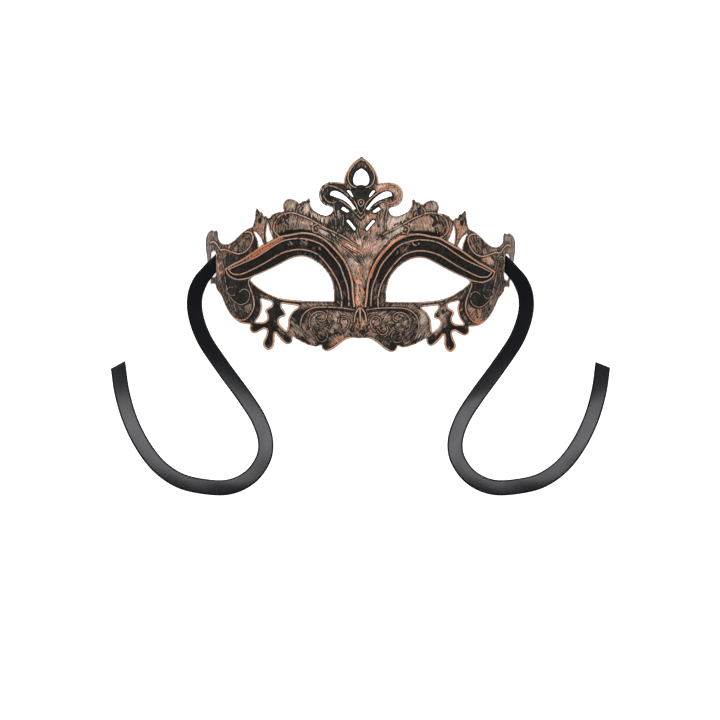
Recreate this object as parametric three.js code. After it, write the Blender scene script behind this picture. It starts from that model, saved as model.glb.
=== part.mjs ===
// A Venetian half mask, moulded in one piece with an antique copper finish, and its two
// satin ribbons. It lies face up. Millimetres: +X is to the right of someone who looks at
// the face, +Y points to the crown and +Z is the way the face looks. The mask rests on
// z = 0 on the rear edges of its wings, with the middle of its length and width at x = y = 0.

import * as THREE from 'three';

// Driving dimensions of the shell. The face is bent to a superellipse across its width.
const SECTION_DEPTH = 62;
const SECTION_POWER = 2.3;
const SECTION_HALF_WIDTH = 92.1;
const SECTION_CUT = 17.1;
const WIDEST_Y = 5.5;
const TAPER_UP = 0.09;
const TAPER_DOWN = 0.08;
const TAPER_DOWN_SQUARED = 0.0014;
const CROWN_LEAN = 0.0028;
const CHIN_LEAN = 0.0012;
const WALL = 1.5;
const WALL_AT_REAR = 1.0;
const WALL_THINS_FROM = 70;
const WALL_THINS_OVER = 14;
const REAR_EDGE = 1.0;
const FOOT_WIDTH = 1.1;

// Nose: its height and half width grow from the bridge down
const NOSE_TOP_Y = 12;
const NOSE_LENGTH = 54;
const NOSE_HEIGHT = 12.5;
const NOSE_HALF_WIDTH_TOP = 7.5;
const NOSE_HALF_WIDTH_FOOT = 13;

// Ribbons
const RIBBON_WIDTH = 9;
const RIBBON_THICK = 0.5;
const RIBBON_LIE = 0.05;
const RIBBON_TURN_DEG = 0.63;
const KNOT_THICK = 3.0;
const KNOT_LENGTH = 6;
const SLOT_MIDDLE_Y = -5;
const SLOT_RISE = 0.16;
const SLOT_PINCH = 0.88;

// How finely curves and the shell are faceted
const CHORD_ERROR = 0.09;
const LONGEST_CHORD = 3.2;
const LATTICE_STEP = 2.75;
const RIBBON_STEP = 4;

// Rear edge of the left wing, which is its foot
const WING_REAR = [
  [-84.8, 13.3], [-86.2, 13.9], [-88.4, 12.7], [-89.7, 10], [-90.1, 7], [-90, 3.5], [-89.6, 0],
  [-89.1, -3.5], [-88.8, -8], [-88.4, -11.6], [-87, -14.3],
];

// The left half of the outer edge, from the crown down to the nose. Each row is one curve,
// and the rows meet at corners.
const OUTLINE = [
  // Teardrop of the crown, its scroll, and the notch beside it
  [[0, 56.8], [-4.2, 54.1], [-7.5, 50], [-9.8, 45], [-10.3, 41.7]],
  [[-10.3, 41.7], [-13.5, 42], [-17.1, 42.1], [-20.8, 41], [-23.7, 38.2], [-24.5, 34.5],
    [-23.5, 30.9], [-20.7, 28.3], [-17.1, 27.2], [-16.2, 26.2]],
  [[-16.2, 26.2], [-16.9, 24.1], [-19.9, 22.4], [-23.4, 23.2], [-27.2, 25.5], [-29.1, 28.5],
    [-29.5, 31.8], [-30.5, 32.6]],
  // Lobes of the brow
  [[-30.5, 32.6], [-32, 31], [-33.7, 30.8], [-35.5, 29.6]],
  [[-35.5, 29.6], [-38.4, 31.4], [-41.5, 32.1], [-44.3, 30.6], [-45.3, 27.6], [-44.7, 24.8]],
  [[-44.7, 24.8], [-47.9, 24.3], [-51.2, 22.9], [-53.4, 20.8]],
  // Lily at the temple
  [[-53.4, 20.8], [-55.2, 22.3], [-56, 22]],
  [[-56, 22], [-56.8, 23.8], [-58.6, 24.7], [-60.4, 26.6]],
  [[-60.4, 26.6], [-61.2, 24.6], [-61.3, 22.4], [-61.7, 19.5], [-62.9, 15.8]],
  // Wing and its knob
  [[-62.9, 15.8], [-66, 14.2], [-69.6, 11.5], [-73.2, 7.9], [-76.8, 5.7], [-80.2, 6],
    [-82.3, 8.2], [-82.7, 12], [-83.7, 13.9], [-84.8, 13.3]],
  WING_REAR,
  [[-87, -14.3], [-87, -16], [-86.8, -17.8]],
  [[-86.8, -17.8], [-85.6, -17.5], [-84.2, -17.8]],
  // Side scroll
  [[-84.2, -17.8], [-83.6, -20.2], [-82, -22.6], [-80.4, -24.8], [-79, -28.2], [-77.4, -31.6],
    [-75.5, -34.8], [-72.4, -38.2], [-69, -40.3], [-66, -40.9], [-63.5, -41.3]],
  // Three drops of the pendant
  [[-63.5, -41.3], [-63.8, -43.6], [-62.4, -45.8], [-60.4, -46.2], [-57.4, -44.8],
    [-55.2, -43.8], [-53.9, -44.4]],
  [[-53.9, -44.4], [-54.3, -47.5], [-55.9, -50.8], [-55.6, -53.8], [-52.6, -55.9],
    [-49.9, -54], [-49, -51], [-49, -48.2], [-48.7, -46.2]],
  [[-48.7, -46.2], [-46.3, -49], [-43.6, -51.6], [-41.2, -52.4], [-39.2, -51.2], [-38.5, -48.2]],
  // Cheek and nose
  [[-38.5, -48.2], [-33.5, -50.9], [-28.5, -52.9], [-24.6, -53.4], [-22.1, -52.8]],
  [[-22.1, -52.8], [-21.2, -55], [-19.1, -56.1], [-16.6, -55.6], [-13.4, -53.6],
    [-10.2, -51], [-7, -49], [-4.2, -48.3], [0, -48.5]],
];

// Holes of the left half, each a ring of curves as above
const EYE_HOLE = [
  [[-63.5, -15.1], [-62, -13.4], [-58.9, -12.1], [-52.7, -9.3], [-46.4, -6.1], [-41, -3.2],
    [-37, -1.8], [-33, -1.5], [-28, -3], [-23, -6.3], [-19.6, -9.9], [-17.1, -13.8],
    [-15.7, -18.5], [-15.2, -22.5], [-15.4, -26.8]],
  [[-15.4, -26.8], [-20.3, -27], [-32.2, -26.8], [-43.4, -25.9], [-49, -24.6], [-54.3, -22.3],
    [-59.4, -19], [-61.5, -17.3], [-63.5, -15.1]],
];
const OUTER_PENDANT_HOLE = [
  [[-57.1, -26.4], [-54, -27], [-51.1, -28.3]],
  [[-51.1, -28.3], [-51.5, -30], [-54, -31.5], [-54.9, -33.5], [-53.8, -35.6], [-53.8, -37.8],
    [-56, -39.4], [-60.1, -39.4]],
  [[-60.1, -39.4], [-57.6, -35.5], [-56.3, -30.7], [-57.1, -26.4]],
];
const INNER_PENDANT_HOLE = [
  [[-45, -29.1], [-45.1, -30.5], [-43.9, -32.2], [-42.7, -34.2], [-43.3, -36.2],
    [-45.4, -37], [-46.6, -38.4], [-46.2, -40.1], [-44.2, -42.6], [-42.3, -44]],
  [[-42.3, -44], [-41.7, -41], [-41.4, -37.7], [-39.5, -33.7], [-35.9, -30.3]],
  [[-35.9, -30.3], [-40.6, -29.5], [-45, -29.1]],
];
const CROWN_LEAF_HOLE = [
  [[-17.9, 34.4], [-17.2, 36.1], [-14.8, 36.7], [-11.2, 35.2], [-7.2, 31.9], [-3.1, 26.6]],
  [[-3.1, 26.6], [-4.2, 26], [-6.3, 28.5], [-10.3, 31.5], [-14.8, 33.2], [-17.9, 34.4]],
];
const UPPER_SLIT = [
  [[-8.1, 37], [-6.7, 37], [-5.2, 35], [-4.6, 33.4]],
  [[-4.6, 33.4], [-6, 34.2], [-8.1, 37]],
];
const SMALL_LEAF_HOLE = [
  [[-11.3, 26.2], [-10.4, 27.5], [-8.6, 26.5], [-6.8, 24.9]],
  [[-6.8, 24.9], [-8.1, 24.4], [-11.3, 26.2]],
];
const LOWER_SLIT = [
  [[-8.2, 19.4], [-7.3, 20.1], [-5.1, 18], [-2.9, 15]],
  [[-2.9, 15], [-3.5, 14], [-5.4, 16], [-8.2, 19.4]],
];
const OUTER_STEM_GAP = [
  [[-61.5, 12.6], [-59.2, 10.8], [-57.6, 8.3], [-56.6, 5.8]],
  [[-56.6, 5.8], [-58.7, 4]],
  [[-58.7, 4], [-59.3, 7.4], [-61.5, 12.6]],
];
const INNER_STEM_GAP = [
  [[-53.9, 17.2], [-52.8, 13.2], [-51, 8.8]],
  [[-51, 8.8], [-53.9, 7]],
  [[-53.9, 7], [-54.5, 11.2], [-53.9, 17.2]],
];
const RIBBON_SLOT = [
  [[-85.2, 1.5], [-86.4, 0.5], [-86.6, -4], [-86.5, -8], [-86.3, -11.5], [-85.4, -13.7]],
  [[-85.4, -13.7], [-84.3, -13.2], [-83.7, -11.5], [-83.6, -8], [-83.7, -4], [-84.1, 0.5],
    [-85.2, 1.5]],
];
const CROWN_EYE = [
  [[0, 49.8], [-2.9, 47.9], [-4.4, 44.6], [-4.5, 42.2], [-3, 40.2], [0, 40.5]],
];
const PAIRED_HOLES = [
  EYE_HOLE, OUTER_PENDANT_HOLE, INNER_PENDANT_HOLE, CROWN_LEAF_HOLE, UPPER_SLIT,
  SMALL_LEAF_HOLE, LOWER_SLIT, OUTER_STEM_GAP, INNER_STEM_GAP, RIBBON_SLOT,
];

// Raised beads round the eyes, from the outer corner over the eye and down the nose
const EYE_BEADS = [
  [[-78.1, -9.1], [-68.4, -3.8], [-58.1, 3.2], [-46.5, 9.5], [-34, 12], [-27.2, 11.2],
    [-20.3, 7.9], [-11.2, -1], [-7.5, -7.4], [-5.1, -14], [-3.2, -30]],
  [[-76.5, -9.4], [-65.8, -4.5], [-51.6, 3.5], [-46.4, 6.9], [-34.7, 8.9], [-27.7, 7.7],
    [-22.1, 5.3], [-12.2, -6], [-9.5, -12.4], [-7.4, -18.4], [-6.3, -29.6]],
  [[-76.4, -9.6], [-69.6, -12.1], [-58, -6.8], [-46.4, -0.1], [-36, 2.6], [-30.8, 2.2],
    [-25, -0.1], [-19.6, -5.4], [-12.3, -17], [-10.6, -30.1]],
];
// Beads of the brow, the crown scroll and the side scroll
const SCROLL_BEADS = [
  [[-48, 10.2], [-50.2, 15], [-48, 21], [-42, 23.7], [-35.3, 22.5], [-25.5, 18], [-12.6, 11.7],
    [-1, 2.5]],
  [[-18.6, 30], [-22, 34.4], [-20.6, 39.4], [-15, 39], [-7.6, 34.2], [-2.3, 28]],
  [[-65.5, -15.9], [-61.4, -26.3], [-63.7, -35.6], [-69, -38.3], [-73.9, -36.2]],
  [[-65.4, 11.6], [-62.3, 11.8], [-65, 3.4], [-70.6, -0.2], [-76.8, 1.9], [-81, 2]],
];
const BEAD_HEIGHT = 1.0;
const BEAD_HALF_WIDTH = 1.7;

// Broad forms of the left half, each an oval hill or hollow. The rim is the share of its
// radius inside which it has its full height.
const FORMS = [
  { name: 'eye socket', x: -39, y: -14, long: 40, short: 20, turn: 16, rim: 0.45, height: -4 },
  { name: 'cheek', x: -20, y: -41.5, long: 18, short: 13, turn: 4, rim: 0.3, height: 2.6 },
  { name: 'side scroll', x: -71, y: -28, long: 14, short: 10, turn: 80, rim: 0.3, height: 1.6 },
  { name: 'brow shell', x: -34, y: 17, long: 19, short: 7.5, turn: -10, rim: 0.3, height: 1.4 },
  { name: 'wing', x: -72, y: 6, long: 11, short: 6, turn: 18, rim: 0.3, height: 1 },
  { name: 'brow lobe', x: -40.5, y: 27, long: 5, short: 5, turn: 0, rim: 0.2, height: 0.8 },
  { name: 'crown scroll', x: -19.5, y: 35, long: 6, short: 5, turn: 0, rim: 0.2, height: 1 },
  { name: 'lily dimple', x: -58.5, y: 18.8, long: 3, short: 2.2, turn: 90, rim: 0, height: -0.6 },
];

// Centre line of the left ribbon over the table, from the knot behind the wing through
// the slot to its cut end, as x, y and the height of its underside
const RIBBON_ROUTE = [
  [-78, 1.4, 7.4], [-81.2, -2.1, 7.3], [-84.7, -5.5, 7.6], [-87.1, -7.8, 8], [-89.3, -10.3, 7.2],
  [-92.1, -13.7, 5.1], [-94.4, -18, 3.1], [-95.9, -22.3, 1.6], [-96.5, -27, 0.5],
  [-96.3, -32, 0.05], [-95.2, -37.5, 0], [-93.2, -43.5, 0], [-89.9, -50.5, 0], [-79.3, -66.1, 0],
  [-66.8, -83.2, 0], [-59.2, -95.4, 0], [-55.3, -107, 0], [-55.8, -116.5, 0], [-61, -125.8, 0],
  [-68.2, -131.7, 0], [-78, -135, 0], [-92.3, -134.3, 0], [-105, -131, 0], [-116.4, -123.4, 0],
  [-125.7, -112, 0], [-133.8, -96.2, 0], [-138.7, -79.5, 0], [-141, -63.6, 0],
];
const ROUTE_LEAVES_SLOT = 3;

function smoothStep(t) {
  const s = Math.min(1, Math.max(0, t));
  return s * s * (3 - 2 * s);
}

// Half width of the superellipse at a height on the face
function halfWidthAt(y) {
  const above = Math.max(0, y - WIDEST_Y);
  const below = Math.max(0, WIDEST_Y - y);
  return SECTION_HALF_WIDTH - TAPER_UP * above
    - TAPER_DOWN * below - TAPER_DOWN_SQUARED * below * below;
}

function noseAt(x, y) {
  const down = smoothStep((NOSE_TOP_Y - y) / NOSE_LENGTH);
  const halfWidth = THREE.MathUtils.lerp(NOSE_HALF_WIDTH_TOP, NOSE_HALF_WIDTH_FOOT, down);
  return NOSE_HEIGHT * down * Math.exp(-((x / halfWidth) ** 2));
}

function formAt(form, x, y) {
  const turn = THREE.MathUtils.degToRad(form.turn);
  const across = x - form.x;
  const up = y - form.y;
  const u = (across * Math.cos(turn) + up * Math.sin(turn)) / form.long;
  const v = (up * Math.cos(turn) - across * Math.sin(turn)) / form.short;
  return form.height * (1 - smoothStep((Math.hypot(u, v) - form.rim) / (1 - form.rim)));
}

// Height of the plain face over the table, with its broad forms but no beads
function faceAt(x, y) {
  const share = Math.min(0.999, Math.abs(x) / halfWidthAt(y));
  const bend = SECTION_DEPTH * (1 - share ** SECTION_POWER) ** (1 / SECTION_POWER);
  const lean = CROWN_LEAN * Math.max(0, y) ** 2 + CHIN_LEAN * Math.min(0, y) ** 2;
  const forms = FORMS.reduce((sum, form) => sum + formAt(form, -Math.abs(x), y), 0);
  return bend - SECTION_CUT - lean + noseAt(x, y) + forms;
}

// How much taller a layer of unit thickness is when it is measured straight up
function uprightStretch(x, y) {
  const step = 0.05;
  const slopeX = (faceAt(x + step, y) - faceAt(x - step, y)) / (2 * step);
  const slopeY = (faceAt(x, y + step) - faceAt(x, y - step)) / (2 * step);
  return Math.hypot(1, slopeX, slopeY);
}

function wallAt(x) {
  const thinned = smoothStep((Math.abs(x) - WALL_THINS_FROM) / WALL_THINS_OVER);
  return THREE.MathUtils.lerp(WALL, WALL_AT_REAR, thinned);
}

// A curve through the points of a row, with chords that follow it closely
function chords(row) {
  if (row.length === 2) return row;
  const corners = row.map(([x, y]) => new THREE.Vector3(x, y, 0));
  const curve = new THREE.CatmullRomCurve3(corners, false, 'centripetal');
  const points = [row[0]];
  const split = (from, to, start, end) => {
    const middle = curve.getPoint((from + to) / 2);
    const length = start.distanceTo(end);
    const flat = new THREE.Line3(start, end).closestPointToPoint(middle, true, new THREE.Vector3());
    if (length > LONGEST_CHORD || flat.distanceTo(middle) > CHORD_ERROR) {
      split(from, (from + to) / 2, start, middle);
      split((from + to) / 2, to, middle, end);
    } else {
      points.push([end.x, end.y]);
    }
  };
  const spans = row.length - 1;
  for (let i = 0; i < spans; i += 1) split(i / spans, (i + 1) / spans, corners[i], corners[i + 1]);
  return points;
}

function ring(rows) {
  return rows.flatMap((row) => chords(row).slice(0, -1));
}

function mirrored(points) {
  return points.map(([x, y]) => [-x, y]).reverse();
}

// A ring that crosses the middle plane: its left half, then the same mirrored
function acrossMiddle(rows) {
  const left = rows.flatMap((row, i) => chords(row).slice(i ? 1 : 0));
  return [...left, ...mirrored(left.slice(1, -1))];
}

function allRings() {
  const paired = PAIRED_HOLES.map(ring);
  return [acrossMiddle(OUTLINE), acrossMiddle(CROWN_EYE), ...paired, ...paired.map(mirrored)];
}

// Distance along the bent section from the middle plane, and back again, so that facets
// are even over the surface and not only as seen from the front
const SECTION_TABLE_STEP = 0.25;
const SECTION_LENGTHS = (() => {
  const lengths = [0];
  const bend = (x) => (1 - (x / SECTION_HALF_WIDTH) ** SECTION_POWER) ** (1 / SECTION_POWER);
  for (let x = 0; x < SECTION_HALF_WIDTH - 1; x += SECTION_TABLE_STEP) {
    const fall = SECTION_DEPTH * (bend(x) - bend(x + SECTION_TABLE_STEP));
    lengths.push(lengths.at(-1) + Math.hypot(SECTION_TABLE_STEP, fall));
  }
  return lengths;
})();

function unrolled(x) {
  const at = Math.min(Math.abs(x) / SECTION_TABLE_STEP, SECTION_LENGTHS.length - 1.001);
  const i = Math.floor(at);
  const length = THREE.MathUtils.lerp(SECTION_LENGTHS[i], SECTION_LENGTHS[i + 1], at - i);
  return Math.sign(x) * length;
}

function rolledBack(length) {
  const i = SECTION_LENGTHS.findIndex((each) => each > Math.abs(length));
  if (i < 0) return Math.sign(length) * SECTION_HALF_WIDTH;
  const part = (Math.abs(length) - SECTION_LENGTHS[i - 1])
    / (SECTION_LENGTHS[i] - SECTION_LENGTHS[i - 1]);
  return Math.sign(length) * (i - 1 + part) * SECTION_TABLE_STEP;
}

function distanceToChord([x, y], [ax, ay], [bx, by]) {
  const dx = bx - ax;
  const dy = by - ay;
  const t = Math.min(1, Math.max(0, ((x - ax) * dx + (y - ay) * dy) / (dx * dx + dy * dy)));
  return Math.hypot(x - ax - t * dx, y - ay - t * dy);
}

function distanceToLine(point, line, closed) {
  let least = Infinity;
  for (let i = closed ? 0 : 1; i < line.length; i += 1) {
    const from = line[(i + line.length - 1) % line.length];
    least = Math.min(least, distanceToChord(point, from, line[i]));
  }
  return least;
}

function insideRing([x, y], points) {
  let inside = false;
  points.forEach(([ax, ay], i) => {
    const [bx, by] = points[(i + 1) % points.length];
    if (ay > y !== by > y && x < ax + ((y - ay) / (by - ay)) * (bx - ax)) inside = !inside;
  });
  return inside;
}

function insideShell(point, rings) {
  return rings.filter((each) => insideRing(point, each)).length % 2 === 1;
}

// Height that the beads add to the face, measured square to it
const BEADS = [...EYE_BEADS, ...SCROLL_BEADS].map(chords);
function beadAt(x, y) {
  const point = [-Math.abs(x), y];
  const nearest = Math.min(...BEADS.map((bead) => distanceToLine(point, bead, false)));
  return BEAD_HEIGHT * (1 - smoothStep(nearest / BEAD_HALF_WIDTH));
}

// Whether a point of the back belongs to the flat foot of a wing
const FOOT_LINE = chords(WING_REAR);
function onFoot(x, y) {
  return distanceToLine([-Math.abs(x), y], FOOT_LINE, false) < FOOT_WIDTH + 0.01;
}

// Delaunay triangles over points sorted by their first coordinate
function delaunay(points) {
  const order = points.map((_, i) => i).sort((a, b) => points[a][0] - points[b][0]);
  const far = 1e4;
  const all = [...points, [-far, -far], [far, -far], [0, far]];
  const circle = (a, b, c) => {
    const [ax, ay] = all[a];
    const [bx, by] = all[b].map((value, k) => value - all[a][k]);
    const [cx, cy] = all[c].map((value, k) => value - all[a][k]);
    const twice = 2 * (bx * cy - by * cx);
    const x = (cy * (bx * bx + by * by) - by * (cx * cx + cy * cy)) / twice;
    const y = (bx * (cx * cx + cy * cy) - cx * (bx * bx + by * by)) / twice;
    return { corners: [a, b, c], x: ax + x, y: ay + y, radiusSquared: x * x + y * y };
  };
  let open = [circle(points.length, points.length + 1, points.length + 2)];
  const closed = [];
  order.forEach((index) => {
    const [x, y] = points[index];
    const edges = new Map();
    open = open.filter((each) => {
      const ahead = x - each.x;
      if (ahead > 0 && ahead * ahead > each.radiusSquared) {
        closed.push(each);
        return false;
      }
      if (ahead * ahead + (y - each.y) ** 2 >= each.radiusSquared) return true;
      each.corners.forEach((from, k) => {
        const to = each.corners[(k + 1) % 3];
        if (!edges.delete(`${to} ${from}`)) edges.set(`${from} ${to}`, [from, to]);
      });
      return false;
    });
    edges.forEach(([from, to]) => open.push(circle(from, to, index)));
  });
  return [...closed, ...open].map((each) => each.corners)
    .filter((corners) => corners.every((corner) => corner < points.length));
}

// Points along the feet, the beads and over the rest of the face, clear of the rings and
// of each other
function innerPoints(rings) {
  const inner = [];
  const cell = LATTICE_STEP;
  const taken = new Map();
  const key = (u, v) => `${Math.round(u / cell)} ${Math.round(v / cell)}`;
  const add = (point, spacing) => {
    const u = unrolled(point[0]);
    const v = point[1];
    for (let i = -1; i <= 1; i += 1) {
      for (let j = -1; j <= 1; j += 1) {
        const near = taken.get(key(u + i * cell, v + j * cell)) ?? [];
        if (near.some(([a, b]) => Math.hypot(a - u, b - v) < spacing)) return;
      }
    }
    if (!insideShell(point, rings)) return;
    if (rings.some((each) => distanceToLine(point, each, true) < spacing * 0.5)) return;
    taken.set(key(u, v), [...(taken.get(key(u, v)) ?? []), [u, v]]);
    inner.push(point);
  };
  FOOT_LINE.forEach(([x, y]) => {
    add([x + FOOT_WIDTH, y], FOOT_WIDTH);
    add([-x - FOOT_WIDTH, y], FOOT_WIDTH);
  });
  BEADS.forEach((bead) => {
    const path = new THREE.CatmullRomCurve3(bead.map(([x, y]) => new THREE.Vector3(x, y, 0)));
    const count = Math.round(path.getLength() / LATTICE_STEP);
    path.getSpacedPoints(count).forEach(({ x, y }) => {
      add([x, y], LATTICE_STEP * 0.6);
      add([-x, y], LATTICE_STEP * 0.6);
    });
  });
  const rowStep = LATTICE_STEP * Math.sqrt(0.75);
  const reachU = unrolled(SECTION_HALF_WIDTH);
  const reachV = 60;
  for (let row = -Math.ceil(reachV / rowStep); row * rowStep < reachV; row += 1) {
    for (let col = 0.25 * (row & 1 ? -1 : 1); col * LATTICE_STEP < reachU; col += 1) {
      // A small uneven shift keeps four neighbours off one circle
      const shift = 0.06 * Math.sin(12.9 * col + 78.2 * row);
      const x = rolledBack(col * LATTICE_STEP + shift);
      const y = row * rowStep + shift;
      add([x, y], LATTICE_STEP * 0.72);
      add([-x, y], LATTICE_STEP * 0.72);
    }
  }
  return inner;
}

// Splits each chord of the rings that the triangles miss, until they hold every chord
function fittedTriangles(rings, inner) {
  for (;;) {
    const points = [...rings.flat(), ...inner];
    const triangles = delaunay(points.map(([x, y]) => [unrolled(x), y]));
    const held = new Set(triangles.flatMap(([a, b, c]) => [
      `${a} ${b}`, `${b} ${c}`, `${c} ${a}`, `${b} ${a}`, `${c} ${b}`, `${a} ${c}`]));
    let first = 0;
    let missed = 0;
    const finer = rings.map((each) => {
      const start = first;
      first += each.length;
      return each.flatMap((point, i) => {
        const next = (i + 1) % each.length;
        if (held.has(`${start + i} ${start + next}`)) return [point];
        missed += 1;
        return [point, [(point[0] + each[next][0]) / 2, (point[1] + each[next][1]) / 2]];
      });
    });
    if (!missed) return { points, triangles };
    rings.splice(0, rings.length, ...finer);
  }
}

function closedGeometry(positions, faces) {
  const geometry = new THREE.BufferGeometry();
  geometry.setAttribute('position', new THREE.Float32BufferAttribute(positions.flat(), 3));
  geometry.setIndex(faces.flat());
  geometry.computeVertexNormals();
  return geometry;
}

// The shell: a front and a back over the same triangles, joined by walls round each ring
function shellGeometry() {
  const rings = allRings();
  const { points, triangles } = fittedTriangles(rings, innerPoints(rings));
  const kept = triangles.filter((corners) => {
    const centre = [0, 1].map((k) => corners.reduce((sum, i) => sum + points[i][k], 0) / 3);
    return insideShell(centre, rings);
  }).map(([a, b, c]) => {
    const turn = (points[b][0] - points[a][0]) * (points[c][1] - points[a][1])
      - (points[b][1] - points[a][1]) * (points[c][0] - points[a][0]);
    return turn > 0 ? [a, b, c] : [a, c, b];
  });
  const front = [];
  const back = [];
  points.forEach(([x, y]) => {
    const stretch = uprightStretch(x, y);
    const inner = onFoot(x, y) ? 0 : Math.max(0, faceAt(x, y) - wallAt(x) * stretch);
    const outer = faceAt(x, y) + beadAt(x, y) * Math.min(stretch, 2);
    back.push([x, y, inner]);
    front.push([x, y, Math.max(outer, inner + REAR_EDGE)]);
  });
  const count = points.length;
  const faces = kept.flatMap(([a, b, c]) => [[a, b, c], [a + count, c + count, b + count]]);
  const edges = new Map();
  kept.forEach((corners) => corners.forEach((from, k) => {
    const to = corners[(k + 1) % 3];
    if (!edges.delete(`${to} ${from}`)) edges.set(`${from} ${to}`, [from, to]);
  }));
  edges.forEach(([from, to]) => {
    faces.push([to, from, from + count], [to, from + count, to + count]);
  });
  return closedGeometry([...front, ...back], faces);
}

// A flat ribbon over its route. Side is -1 for the left one and 1 for the right one.
function ribbonGeometry(side) {
  const turn = THREE.MathUtils.degToRad(RIBBON_TURN_DEG);
  const route = RIBBON_ROUTE.map(([x, y, z]) => new THREE.Vector3(
    -side * x * Math.cos(turn) - y * Math.sin(turn),
    -side * x * Math.sin(turn) + y * Math.cos(turn),
    z + RIBBON_LIE,
  ));
  const path = new THREE.CatmullRomCurve3(route, false, 'centripetal');
  const steps = Math.round(path.getLength() / RIBBON_STEP);
  const tiltEnds = ROUTE_LEAVES_SLOT / (route.length - 1);
  const positions = [];
  for (let i = 0; i <= steps; i += 1) {
    const along = i / steps;
    const centre = path.getPointAt(along);
    const ahead = path.getTangentAt(along);
    const across = new THREE.Vector3(-ahead.y, ahead.x, 0).normalize();
    // Near the slot the ribbon is gathered, and it tips with the taper of the wing
    const nearSlot = 1 - smoothStep(path.getUtoTmapping(along) / tiltEnds - 1);
    const width = RIBBON_WIDTH * THREE.MathUtils.lerp(1, SLOT_PINCH, nearSlot);
    const rise = SLOT_RISE * nearSlot;
    const gone = along * path.getLength();
    const knot = 1 - smoothStep((gone - KNOT_LENGTH / 2) / (KNOT_LENGTH / 2));
    const thick = THREE.MathUtils.lerp(RIBBON_THICK, KNOT_THICK, knot);
    const under = centre.z - (thick - RIBBON_THICK) / 2;
    [[-1, 0], [1, 0], [1, 1], [-1, 1]].forEach(([edge, top]) => {
      const reach = (edge * width) / 2;
      const x = centre.x + across.x * reach;
      const y = centre.y + across.y * reach;
      positions.push([x, y, under + rise * (y - SLOT_MIDDLE_Y) + top * thick]);
    });
  }
  const corners = 4;
  const faces = [[0, 2, 1], [0, 3, 2]];
  for (let i = 0; i < steps; i += 1) {
    for (let k = 0; k < corners; k += 1) {
      const a = i * corners + k;
      const b = i * corners + ((k + 1) % corners);
      faces.push([a, b + corners, a + corners], [a, b, b + corners]);
    }
  }
  const last = steps * corners;
  faces.push([last, last + 1, last + 2], [last, last + 2, last + 3]);
  return closedGeometry(positions, faces);
}

function piece(name, geometry, color, roughness, metalness) {
  const material = new THREE.MeshStandardMaterial({ color, roughness, metalness });
  const mesh = new THREE.Mesh(geometry, material);
  mesh.name = name;
  return mesh;
}

const mask = new THREE.Group();
mask.add(piece('mask_shell', shellGeometry(), 0x6b5142, 0.5, 0.45));
mask.add(piece('ribbon_left', ribbonGeometry(-1), 0x1b1b1f, 0.45, 0));
mask.add(piece('ribbon_right', ribbonGeometry(1), 0x1b1b1f, 0.45, 0));

export default mask;
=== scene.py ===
"""The looks of a Venetian half mask in antique copper with its two black satin ribbons."""

import logging
import math
from dataclasses import dataclass, field, replace
from enum import Enum
from typing import Any, Sequence

import bmesh
import bpy
import numpy as np
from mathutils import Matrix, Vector, noise
from mathutils.geometry import delaunay_2d_cdt


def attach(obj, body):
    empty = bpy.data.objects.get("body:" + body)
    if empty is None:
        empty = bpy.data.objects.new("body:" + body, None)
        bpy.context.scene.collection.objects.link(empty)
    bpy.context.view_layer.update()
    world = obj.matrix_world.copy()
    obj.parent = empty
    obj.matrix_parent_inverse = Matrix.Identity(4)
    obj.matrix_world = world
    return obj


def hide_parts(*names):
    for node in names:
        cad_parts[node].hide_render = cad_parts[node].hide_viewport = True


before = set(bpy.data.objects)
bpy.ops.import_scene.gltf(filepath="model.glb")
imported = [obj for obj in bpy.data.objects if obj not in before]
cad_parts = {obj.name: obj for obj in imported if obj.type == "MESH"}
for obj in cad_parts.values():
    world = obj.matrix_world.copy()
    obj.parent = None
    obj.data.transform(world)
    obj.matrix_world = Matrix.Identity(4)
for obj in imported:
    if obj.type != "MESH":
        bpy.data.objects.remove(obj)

LOG = logging.getLogger("venetian_mask")
MM = 0.001
POINTS_AT_ONCE = 4000
SEGMENTS_AT_ONCE = 24
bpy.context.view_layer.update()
Point = tuple[float, float]
Line = Sequence[Point]
Color = tuple[float, float, float, float]


class Slot(Enum):
    """The record's material slots."""

    MASK = "mask"
    RIBBON = "ribbon"


class Side(Enum):
    """The two sides of the mask, as the sign of x."""

    LEFT = -1
    RIGHT = 1


# Node trees


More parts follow.
